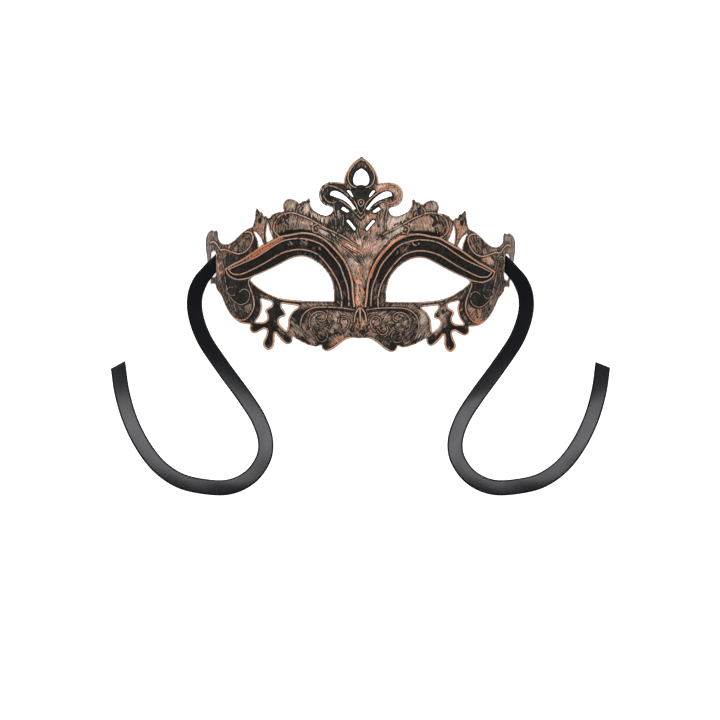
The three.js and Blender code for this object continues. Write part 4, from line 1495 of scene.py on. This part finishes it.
    def skin(self, flat: np.ndarray, rings: list[np.ndarray],
             beads: list[tuple[Bead, np.ndarray]], cuts: list[tuple[Cut, np.ndarray]]) -> Skin:
        """Works out the relief and the paint at each point of the front.

        Args:
            flat: The points on the flat face.
            rings: The rims on the flat face.
            beads: The beads on the flat face.
            cuts: The cuts on the flat face.

        Returns:
            The relief and the paint.
        """
        count = len(flat)
        front = self.face.roll_back(flat)
        rub, warm = (np.full(count, share) for share in self.brushwork.ground)
        self.brush_on(self.brushwork.patches, front, rub, warm)
        (broad_x, broad_y), (fine_x, fine_y) = self.broad_scale, self.fine_scale
        height = self.unevenness * np.array([
            noise.noise((u * broad_x, v * broad_y, 0))
            + self.fine_share * noise.noise((u * fine_x, v * fine_y, 5))
            for u, v in flat.tolist()])
        for group in self.ornament:
            for panel in group.panels():
                for index, half in enumerate(self.on_halves(panel.points, panel.halves)):
                    ring = self.face.unroll(curve_through(half, self.line_spacing, True))
                    reach = max(panel.bevel, self.paint_soft)
                    depth = nearest_on_line(flat, closed_line(ring), reach)[0]
                    within = inside_rings(flat, [ring])
                    height += panel.height * smooth_step(depth / panel.bevel) * within
                    if panel.paint:
                        share = smooth_step(depth / self.paint_soft) * within
                        rub += (panel.paint[index][0] - rub) * share
                        warm += (panel.paint[index][1] - warm) * share
        self.brush_on(self.brushwork.touches, front, rub, warm)
        raised, bead_off = np.zeros(count), np.full(count, self.reach)
        bead_tone = np.zeros(count)
        for bead, line in beads:
            off, share = nearest_on_line(flat, line, self.reach + bead.half_width)
            fade = 1 - smooth_step((share - bead.fades_from) / max(1 - bead.fades_from, 1e-6))
            raised = np.maximum(raised, fade * bead.height * self.rounded(off, bead.half_width))
            off = off - bead.half_width
            nearer = off < bead_off
            bead_tone[nearer] = (bead.tone * fade)[nearer]
            bead_off = np.minimum(bead_off, off)
        beside = np.abs(bead_off - self.groove_middle) / self.groove_reach
        height -= self.groove_depth * smooth_step(1 - beside)
        height += raised
        cut_off = np.full(count, self.reach)
        for cut, line in cuts:
            off = nearest_on_line(flat, line, self.reach + cut.half_width)[0]
            dip = cut.depth * self.rounded(off, cut.half_width)
            height -= dip * (raised < self.cut_stops_at)
            cut_off = np.minimum(cut_off, off - cut.half_width)
        edge, rim, rim_tone = self.rim_paint(flat, front, rings)
        band = 1 - smooth_step((edge - self.rim_band * 0.5) / (self.rim_band * 0.6))
        height += self.rim_raised * band * smooth_step(rim_tone * 2)
        inward = np.clip(1 - edge / self.edge_round, 0, 1)
        height -= self.edge_round * (1 - np.sqrt(1 - inward ** 2))
        brush = self.brushwork.directions(*front.T)
        return Skin(height, rub, warm, brush, bead_off, bead_tone, cut_off, rim, rim_tone)

    def build(self) -> bpy.types.Object:
        """Builds the shell's mesh with its paint attributes.

        Returns:
            The mask.
        """
        rings = [self.face.unroll(ring) for ring in self.rims()]
        beads, cuts = self.lines("beads"), self.lines("cuts")
        points, faces = self.triangles(rings, self.front_points(rings, beads + cuts))
        back_points, back_faces = self.triangles(rings, self.back_points(rings))
        skin = self.skin(points, rings, beads, cuts)
        x, y = self.face.roll_back(points).T
        back_x, back_y = self.face.roll_back(back_points).T
        wall = self.face.wall_thickness(back_x) * self.face.stretch(back_x, back_y)
        back_z = np.maximum(self.face.height(back_x, back_y) - wall, 0.0)
        relief = skin.height * np.minimum(self.face.stretch(x, y), self.most_stretch)
        least = np.full(len(points), self.least_front)
        rim_count = sum(len(ring) for ring in rings)
        least[:rim_count] += back_z[:rim_count]
        front_z = np.maximum(self.face.height(x, y) + relief, least)
        shift = len(points)
        walls = self.walls(rings, shift)
        mesh = bpy.data.meshes.new("mask_moulded")
        all_faces = faces.tolist() + walls + (back_faces[:, ::-1] + shift).tolist()
        places = np.vstack([np.column_stack([x, y, front_z]),
                            np.column_stack([back_x, back_y, back_z])])
        mesh.from_pydata(places * MM, [], all_faces)
        depth = np.concatenate([np.zeros(shift), np.full(len(back_points), self.back_depth)])
        self.give(mesh, "flat", np.column_stack([np.vstack([points, back_points]), depth]))
        for name, (values, behind) in skin.numbers(self.reach).items():
            self.give(mesh, name, np.concatenate([values, np.full(len(back_points), behind)]))
        mesh.shade_smooth()
        return new_object("mask_moulded", mesh)

    @staticmethod
    def walls(rings: list[np.ndarray], shift: int) -> list[tuple[int, int, int, int]]:
        """The upright faces between the front's rims and the back's.

        Args:
            rings: The rims on the flat face, the outline first.
            shift: The number of the back's first point.

        Returns:
            The faces.
        """
        made, first = [], 0
        for ring in rings:
            count = len(ring)
            after = np.roll(ring, -1, axis=0)
            area = np.sum(ring[:, 0] * after[:, 1] - after[:, 0] * ring[:, 1])
            for i in range(count):
                a, b = first + i, first + (i + 1) % count
                if (area > 0) == (ring is rings[0]):
                    a, b = b, a
                made.append((a, b, b + shift, a + shift))
            first += count
        return made

    def back_points(self, rings: list[np.ndarray]) -> np.ndarray:
        """Points for the smooth back of the shell."""
        low, high = rings[0].min(0), rings[0].max(0)
        grid = np.stack(np.meshgrid(np.arange(low[0], high[0], self.back_lattice),
                                    np.arange(low[1], high[1], self.back_lattice)), -1)
        return self.scattered(grid.reshape(-1, 2), rings, self.back_jitter, self.back_seed,
                              self.back_clear)

    @staticmethod
    def give(mesh: bpy.types.Mesh, name: str, values: np.ndarray) -> None:
        """Stores numbers or vectors on the points of a mesh."""
        many = values.ndim == 2
        kind = "FLOAT_VECTOR" if many else "FLOAT"
        attribute = mesh.attributes.new(name, kind, "POINT")
        attribute.data.foreach_set("vector" if many else "value",
                                   values.astype(np.float32).ravel())


@dataclass(frozen=True)
class AntiqueCopper:
    """Near-black moulding, stained and dry brushed with grey beige and with copper. The black by
    its lines is partly painted shade, and some of its pale flecks are painted glints.
    """

    ground: Color = srgb(16, 16, 15)
    worn_ground: Color = srgb(37, 35, 31)
    stain: Color = srgb(66, 58, 50)
    dull: Color = srgb(122, 105, 92)
    pale: Color = srgb(190, 172, 159)
    copper: Color = srgb(200, 138, 105)
    fresh_copper: Color = srgb(192, 114, 76)
    dull_copper: Color = srgb(138, 94, 72)
    leans: tuple[float, ...] = (-42, -14, 14, 42)
    lean_blend: float = 7
    lean_shift: Point = (13.7, 5.1)
    streak_width: float = 0.52
    streak_length: float = 5.0

    def streaks(self, tree: Tree, flat: Wire, brush: Wire) -> tuple[Wire, Wire, Wire]:
        """Three noises drawn out along the brush.

        Args:
            tree: The material's tree.
            flat: The place on the flat face in millimetres.
            brush: The brush's lean in degrees.

        Returns:
            The noises, from 0 to 1.
        """
        mixed, before = None, 0.0
        for index, lean in enumerate(self.leans):
            drawn = tree.add("ShaderNodeMapping", {"vector_type": "TEXTURE"}, Vector=flat,
                             Location=(*(shift * index for shift in self.lean_shift), 0),
                             Rotation=(0, 0, math.radians(-lean)),
                             Scale=(self.streak_width, self.streak_length, 1.0))
            here = tree.noise_at(drawn, 1.0)
            if mixed is None:
                mixed = here
            else:
                middle = (lean + before) / 2
                turns = brush.step(middle - self.lean_blend, middle + self.lean_blend)
                mixed = tree.blend(turns, mixed, here)
            before = lean
        return mixed.channels()

    def material(self) -> bpy.types.Material:
        """Builds the material.

        Returns:
            The material, which reads the mask's own attributes.
        """
        made, tree = new_material("antique_copper")
        place = tree.attribute("flat", "Vector")
        rub, warm, brush = (tree.attribute(name) for name in ("rub", "warm", "brush"))
        bead, bead_tone = tree.attribute("bead"), tree.attribute("bead_tone")
        rim, rim_tone, cut = (tree.attribute(name) for name in ("rim", "rim_tone", "cut"))
        drift = tree.vector("SUBTRACT", tree.noise_at(place, 0.3, 1.0), (0.5, 0.5, 0.5))
        flat = tree.vector("ADD", place, tree.vector("SCALE", drift, Scale=1.6))
        first, second, third = self.streaks(tree, flat, brush)
        fine_one, fine_two, fine_three = tree.noise_at(place, 1.1).channels()
        middle_one, middle_two, _ = tree.noise_at(place, 0.42).channels()
        wobble = (fine_three - 0.5) * 0.45 + (middle_two - 0.5) * 0.3
        # Less brush within 1.7 mm of the beads and rims: partly the black kept by the lines,
        # partly painted shade.
        near = 1.0 - bead.least(rim).step(0.0, 1.7)
        cover = rub - 0.18 * near + 0.28 * (middle_one - 0.5)

        def painted(noise_value: Wire, much: Wire, soft: float) -> Wire:
            """Where a layer of paint took, for how much of the ground it covers."""
            level = 0.5 + 0.36 * (0.5 - much)
            return noise_value.step(level - soft, level + soft)

        stained = painted(first * 0.76 + fine_one * 0.24, cover + 0.07, 0.04)
        rubbed = painted(first * 0.82 + fine_one * 0.18, cover, 0.035)
        coppered = painted(second * 0.82 + fine_two * 0.18,
                           cover * 0.55 + warm * 0.62 - 0.24, 0.04)
        hot = warm.step(0.9, 1.1)
        # Pale flecks on the most brushed places: partly pale paint, partly painted glints.
        pale_flecks_and_glints = painted(third * 0.75 + fine_three * 0.25, cover - 0.34 - 0.6 * hot, 0.03)
        worn = (fine_two * 0.5 + first * 0.3 + middle_two * 0.2).step(0.38, 0.6)
        color = tree.blend(worn, self.ground, self.worn_ground)
        color = tree.blend(stained, color, self.stain)
        brushed = tree.blend((rub + (third - 0.5) * 1.4).step(0.5, 1.2), self.dull, self.pale)
        color = tree.blend(rubbed, color, brushed)
        bright = tree.blend(hot, self.copper, self.fresh_copper)
        copper = (third + fine_one + 0.3 * hot).step(0.85, 1.2)
        copper = tree.blend(copper, self.dull_copper, bright)
        color = tree.blend(coppered * stained, color, copper)
        color = tree.blend(pale_flecks_and_glints * 0.8, color, self.pale)
        # Black on and beside the beads, inside the rims' paint and in the cuts: partly the black
        # ground that the brush missed, partly painted shade by the ridges and in hollows.
        ground_and_shade = (1.0 - (bead + wobble * 0.7).step(0.22, 0.66)) * bead_tone.step(0.1, 0.65)
        ground_and_shade = ground_and_shade * (1.0 - hot) * (1.0 - 0.7 * rub.step(0.72, 0.95))
        ground_and_shade = ground_and_shade.greatest(1.0 - (rim + wobble).step(0.0, 0.35))
        ground_and_shade = ground_and_shade.greatest(1.0 - (cut + wobble * 0.5).step(-0.1, 0.16))
        color = tree.blend(ground_and_shade * 0.93, color, self.ground)
        crest = 1.0 - (bead + wobble).step(-0.24, -0.04)
        took = (bead_tone + (middle_two - 0.5) * 1.6 + (fine_two - 0.5) * 1.1).step(0.3, 0.66)
        crest = crest * took * (0.3 + 0.8 * bead_tone).least(1.0)
        edge = 1.0 - (rim + wobble * 0.8).step(-0.13, 0.03)
        took = (rim_tone + (middle_one - 0.5) * 1.3 + (fine_one - 0.5) * 1.2).step(0.3, 0.62)
        edge = edge * took
        hue = 0.14 + warm * 0.3 + crest * bead_tone * 0.25 + (middle_one - 0.5) * 1.3
        hue = hue + (rim_tone - 0.6) * edge * 0.8
        hue = (hue + (fine_two - 0.5) * 1.5).step(0.2, 0.7)
        grey = tree.blend((third + fine_three).step(0.75, 1.15), self.dull, self.pale)
        lined = tree.blend(hue, grey, bright)
        color = tree.blend(crest.greatest(edge), color, lined)
        paint = rubbed.greatest(coppered).greatest(crest).greatest(edge) * (1.0 - 0.5 * ground_and_shade)
        grain = paint * 0.6 + fine_one * 0.4
        bump = tree.add("ShaderNodeBump", {}, Strength=0.5, Distance=0.00012, Height=grain)
        tree.surface(Base_Color=color, Roughness=0.5 - 0.1 * paint + 0.1 * (fine_two - 0.5),
                     Metallic=0.3 * paint, Specular_IOR_Level=0.12, Normal=bump)
        return made


# The ribbons


@dataclass(frozen=True)
class BlackSatin:
    """Black satin, finely woven and smooth along its length."""

    color: Color = srgb(17, 18, 22)
    shade: float = 0.85
    roughness: float = 0.27
    threads: Point = (300, 6000)

    def material(self) -> bpy.types.Material:
        """Builds the material.

        Returns:
            The material, which reads the ribbon's own attribute.
        """
        made, tree = new_material("black_satin")
        along = tree.attribute("along", "Vector")
        thread = tree.add("ShaderNodeMapping", {}, Vector=along, Scale=(*self.threads, 1))
        weave = tree.noise_at(thread, 1.0, 1.0, 0)
        bump = tree.add("ShaderNodeBump", {}, Strength=0.1, Distance=0.00004, Height=weave)
        deep = tuple(self.shade * part for part in self.color[:3]) + (1,)
        tree.surface(Base_Color=tree.blend(weave, self.color, deep),
                     Roughness=self.roughness + 0.08 * (weave - 0.5),
                     Specular_IOR_Level=0.08, Normal=bump)
        return made


def swept(name: str, rail: np.ndarray, nodes: bpy.types.NodeTree,
          values: dict[str, Any], thick: float) -> bpy.types.Object:
    """Runs a rail through Geometry Nodes and makes the result a plain mesh.

    Args:
        name: The new piece's name.
        rail: The rail's points in metres.
        nodes: The Geometry Nodes tree.
        values: The tree's inputs by name.
        thick: The thickness that a flat result gets, or 0.

    Returns:
        The piece.
    """
    lines = bpy.data.meshes.new("rail")
    lines.from_pydata(rail, [(i, i + 1) for i in range(len(rail) - 1)], [])
    holder = new_object("rail", lines)
    sweep = holder.modifiers.new("sweep", "NODES")
    sweep.node_group = nodes
    for item in nodes.interface.items_tree:
        if item.in_out == "INPUT" and item.name in values:
            sweep[item.identifier] = values[item.name]
    if thick:
        thicken = holder.modifiers.new("thickness", "SOLIDIFY")
        thicken.thickness = thick
        thicken.offset = 1.0
    graph = bpy.context.evaluated_depsgraph_get()
    mesh = bpy.data.meshes.new_from_object(holder.evaluated_get(graph))
    bpy.data.objects.remove(holder)
    mesh.name = name
    mesh.shade_smooth()
    return new_object(name, mesh)


def new_sweep(name: str, numbers: Sequence[str]) -> tuple[Tree, dict[str, Wire]]:
    """Makes a Geometry Nodes tree that takes a rail and a material and gives a mesh.

    Args:
        name: The tree's name.
        numbers: The names of its other inputs.

    Returns:
        The builder for the tree, and its inputs by name.
    """
    nodes = bpy.data.node_groups.new(name, "GeometryNodeTree")
    face = nodes.interface
    face.new_socket("Geometry", in_out="OUTPUT", socket_type="NodeSocketGeometry")
    face.new_socket("Geometry", in_out="INPUT", socket_type="NodeSocketGeometry")
    for number in numbers:
        face.new_socket(number, in_out="INPUT", socket_type="NodeSocketFloat")
    face.new_socket("Material", in_out="INPUT", socket_type="NodeSocketMaterial")
    tree = Tree(nodes)
    inputs = tree.node("NodeGroupInput", {}).outputs
    return tree, {socket.name: Wire(tree, socket) for socket in inputs}


@dataclass
class Ribbon:
    """One satin ribbon, from its knot behind the wing to its cut end, in millimetres. The
    slant is how much further one corner of the cut end reaches than its middle."""

    side: Side
    slant: float
    width: float = 9
    thick: float = 0.35
    lie: float = 0.05
    turn_degrees: float = 0.63
    slot_middle_y: float = -5
    slot_rise: float = 0.16
    slot_pinch: float = 0.88
    slot_ends: float = 14
    pinch_ends: float = 28
    crown: float = 0.12
    wave: float = 0.1
    wave_length: float = 31
    wave_lean: float = 0.9
    wave_grows: Point = (60, 90)
    rings: int = 360
    across: int = 9
    knot_size: float = 1.05
    knot_width: float = 2.6
    knot_thick: float = 0.9
    knot_corner: float = 0.45
    knot_depth: float = 1.2
    knot_lift: float = 1.6
    knot_points: int = 97
    route: tuple[tuple[float, float, float], ...] = (
        (-78, 1.4, 7.4), (-81.2, -2.1, 7.3), (-84.7, -5.5, 7.6), (-87.1, -7.8, 8),
        (-89.3, -10.3, 7.2), (-92.1, -13.7, 5.1), (-94.4, -18, 3.1), (-95.9, -22.3, 1.6),
        (-96.5, -27, 0.5), (-96.3, -32, 0.05), (-95.2, -37.5, 0), (-93.2, -43.5, 0),
        (-89.9, -50.5, 0), (-79.3, -66.1, 0), (-66.8, -83.2, 0), (-59.2, -95.4, 0),
        (-55.3, -107, 0), (-55.8, -116.5, 0), (-61, -125.8, 0), (-68.2, -131.7, 0),
        (-78, -135, 0), (-92.3, -134.3, 0), (-105, -131, 0), (-116.4, -123.4, 0),
        (-125.7, -112, 0), (-133.8, -96.2, 0), (-138.7, -79.5, 0), (-141, -63.6, 0),
    )

    def centre_line(self) -> np.ndarray:
        """The ribbon's middle line on this side, in metres."""
        x, y, z = np.array(self.route, float).T
        bent = turned(x * -self.side.value, y, -self.turn_degrees)
        return curve_through(np.column_stack([*bent, z + self.lie]), 1.0) * MM

    def ribbon_nodes(self) -> bpy.types.NodeTree:
        """The Geometry Nodes that sweep a flat ribbon along a rail.

        Returns:
            The tree. Its rail is a little longer than the ribbon, by the input named Over.
        """
        tree, given = new_sweep("ribbon_sweep", (
            "Width", "Slant", "Over", "Crown", "Rise", "Rise Middle", "Pinch", "Pinch Start",
            "Pinch End", "Wave", "Wave Length"))
        rail = tree.add("GeometryNodeMeshToCurve", {}, given["Geometry"])
        long = tree.add("GeometryNodeCurveLength", {}, rail) - given["Over"]
        grid = tree.add("GeometryNodeMeshGrid", {}, 1.0, 1.0, self.rings, self.across)
        place = tree.add("GeometryNodeInputPosition", {})
        grid_x, grid_y, _ = place.channels("ShaderNodeSeparateXYZ")
        over = grid_y * 2.0
        gone = (grid_x + 0.5) * (long + over * given["Slant"])
        sample = tree.node("GeometryNodeSampleCurve", {"mode": "LENGTH", "use_all_curves": True},
                           Curves=rail, Length=gone)
        centre, ahead = (Wire(tree, sample.outputs[name]) for name in ("Position", "Tangent"))
        across = tree.vector("NORMALIZE", tree.vector("CROSS_PRODUCT", (0, 0, 1), ahead))
        near = 1.0 - gone.step(given["Pinch Start"], given["Pinch End"])
        half = given["Width"] * 0.5 * (1.0 - near * (1.0 - given["Pinch"]))
        edge = tree.vector("ADD", centre, tree.vector("SCALE", across, Scale=over * half))
        _, edge_y, _ = edge.channels("ShaderNodeSeparateXYZ")
        tip = (edge_y - given["Rise Middle"]) * given["Rise"] * near
        turns = gone / given["Wave Length"] * math.tau + over * self.wave_lean
        swell = tree.add("ShaderNodeMath", {"operation": "SINE"}, turns) + 1.0
        lift = tip + given["Crown"] * (1.0 - over * over)
        grown = gone.step(*(place * MM for place in self.wave_grows))
        lift = lift + given["Wave"] * swell * grown
        raised = tree.add("ShaderNodeCombineXYZ", {}, 0.0, 0.0, lift)
        moved = tree.add("GeometryNodeSetPosition", {}, grid,
                         Position=tree.vector("ADD", edge, raised))
        along = tree.add("ShaderNodeCombineXYZ", {}, gone, over * half, 0.0)
        tree.dress(moved, along, given["Material"])
        return tree.tree

    def knot_nodes(self) -> bpy.types.NodeTree:
        """The Geometry Nodes that lay a narrow flat band along a knotted rail."""
        tree, given = new_sweep("knot_sweep", ("Width", "Thickness"))
        rail = tree.add("GeometryNodeMeshToCurve", {}, given["Geometry"])
        band = tree.add("GeometryNodeCurvePrimitiveQuadrilateral", {}, Width=given["Width"],
                        Height=given["Thickness"])
        soft = tree.add("GeometryNodeFilletCurve", {"mode": "POLY"}, band, Count=3,
                        Radius=given["Thickness"] * self.knot_corner)
        mesh = tree.add("GeometryNodeCurveToMesh", {}, rail, soft, Fill_Caps=True)
        tree.dress(mesh, tree.add("GeometryNodeInputPosition", {}), given["Material"])
        return tree.tree

    def build_knot(self, start: np.ndarray, material: bpy.types.Material) -> bpy.types.Object:
        """Ties the knot that keeps the ribbon in its slot.

        Args:
            start: The start of the ribbon's middle line, in metres.
            material: The satin.

        Returns:
            The knot.
        """
        turn = np.linspace(0, math.tau, self.knot_points)
        loops = np.column_stack([np.sin(turn) + 2 * np.sin(2 * turn),
                                 np.cos(turn) - 2 * np.cos(2 * turn),
                                 -self.knot_depth * np.sin(3 * turn)])
        middle = start + np.array([0, 0, self.knot_lift]) * MM
        rail = middle + loops * self.knot_size * MM
        values = {"Width": self.knot_width * MM, "Thickness": self.knot_thick * MM,
                  "Material": material}
        name = f"knot_{self.side.name.lower()}"
        knot = swept(name, rail, self.knot_nodes(), values, 0)
        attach(knot, "root")
        return knot

    def build(self, material: bpy.types.Material) -> list[bpy.types.Object]:
        """Args:
            material: The satin.

        Returns:
            The ribbon and the knot.
        """
        name = f"ribbon_{self.side.name.lower()}"
        line = self.centre_line()
        over = abs(self.slant) * MM
        ahead = (line[-1] - line[-2]) / np.linalg.norm(line[-1] - line[-2])
        values = {
            "Width": self.width * MM, "Slant": self.slant * MM, "Over": over,
            "Crown": self.crown * MM, "Rise": self.slot_rise,
            "Rise Middle": self.slot_middle_y * MM, "Pinch": self.slot_pinch,
            "Pinch Start": self.slot_ends * MM, "Pinch End": self.pinch_ends * MM,
            "Wave": self.wave * MM, "Wave Length": self.wave_length * MM, "Material": material,
        }
        ribbon = swept(f"{name}_satin", np.vstack([line, line[-1] + ahead * over]),
                       self.ribbon_nodes(), values, self.thick * MM)
        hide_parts(name)
        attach(ribbon, "root")
        knot = self.build_knot(line[0], material)
        return [ribbon, knot]


# The studio


@dataclass(frozen=True)
class Studio:
    """Camera, lights and floor, in metres."""

    view_width: float = 0.4176
    centre: Point = (0.00044, -0.0609)
    roll: float = 0.011
    lens: float = 600
    sensor: float = 36
    sharp_at: float = 0.02
    surround: float = 0.5
    floor_reach: float = 20.0
    floor_height: float = -0.0001
    floor_glow: float = 0.9
    strip_height: float = 0.11
    strip_span: Point = (-0.129, -0.083)
    strip_power: float = 0.2
    strip_spread: float = 50

    def camera(self) -> None:
        """Places the camera straight above, rolled so that the mask leans as it did."""
        data = bpy.data.cameras.new("camera")
        data.lens, data.sensor_width = self.lens, self.sensor
        away = self.view_width * self.lens / self.sensor
        data.clip_start, data.clip_end = 0.1, 100
        camera = new_object("camera", data)
        camera.location = (*self.centre, away + self.sharp_at)
        camera.rotation_euler = (0, 0, self.roll)
        bpy.context.scene.camera = camera

    def area_light(self, name: str, place: Sequence[float], aim: Sequence[float],
                   size: Point, power: float) -> bpy.types.Object:
        """Adds a soft box.

        Args:
            name: The light's name.
            place: Where it is.
            aim: The point that it faces.
            size: Its width and height.
            power: Its power in watts.

        Returns:
            The light.
        """
        data = bpy.data.lights.new(name, "AREA")
        data.shape, data.size, data.size_y, data.energy = "RECTANGLE", *size, power
        light = new_object(name, data)
        light.location = place
        light.rotation_euler = (Vector(aim) - Vector(place)).to_track_quat("-Z", "Y").to_euler()
        light.visible_camera = False
        return light

    def lights(self, ribbons: list[bpy.types.Object]) -> None:
        """Sets a white surrounding, two soft boxes, and a strip light for the satin's sheen.

        Args:
            ribbons: The pieces that the strip light is for.
        """
        world = bpy.data.worlds.new("studio")
        world.use_nodes = True
        background = world.node_tree.nodes["Background"].inputs
        background["Color"].default_value = (1, 1, 1, 1)
        background["Strength"].default_value = self.surround
        bpy.context.scene.world = world
        self.area_light("key", (-0.35, 0.55, 1.2), (0, 0, 0.02), (0.5, 0.5), 10)
        self.area_light("fill", (0.6, 0.2, 1.2), (0, 0, 0.02), (0.8, 0.8), 4)
        near, far = self.strip_span
        middle = (near + far) / 2
        strip = self.area_light("strip", (0, middle, self.strip_height), (0, middle, 0),
                                (0.6, far - near), self.strip_power)
        strip.data.spread = math.radians(self.strip_spread)
        only = bpy.data.collections.new("satin")
        for piece in ribbons:
            only.objects.link(piece)
        strip.light_linking.receiver_collection = only
        strip.visible_diffuse = False

    def floor(self) -> bpy.types.Object:
        """Lays the floor.

        Returns:
            The floor, which is plain white and glows a little.
        """
        mesh = bpy.data.meshes.new("floor")
        reach, under = self.floor_reach, self.floor_height
        corners = [(-reach, -reach, under), (reach, -reach, under), (reach, reach, under),
                   (-reach, reach, under)]
        mesh.from_pydata(corners, [], [(0, 1, 2, 3)])
        material, tree = new_material("floor")
        tree.surface(Base_Color=(0.9, 0.9, 0.9, 1), Roughness=0.9,
                     Emission_Color=(1, 1, 1, 1), Emission_Strength=self.floor_glow)
        mesh.materials.append(material)
        floor = new_object("floor", mesh)
        return floor


def main() -> None:
    """Builds the scene in order: camera, ribbons, mask, lights and floor."""
    logging.basicConfig(level=logging.INFO, format="%(message)s")
    bpy.context.scene.view_settings.view_transform = "Standard"
    studio = Studio()
    studio.camera()
    satin = BlackSatin().material()
    ribbons = Ribbon(Side.LEFT, -1.7).build(satin) + Ribbon(Side.RIGHT, 1.1).build(satin)
    mask = MaskShell().build()
    mask.data.materials.append(AntiqueCopper().material())
    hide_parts("mask_shell")
    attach(mask, "root")
    studio.lights(ribbons)
    for piece in (*ribbons, mask, studio.floor()):
        LOG.info("%s: %d faces", piece.name, len(piece.data.polygons))


if __name__ == "__main__":
    main()
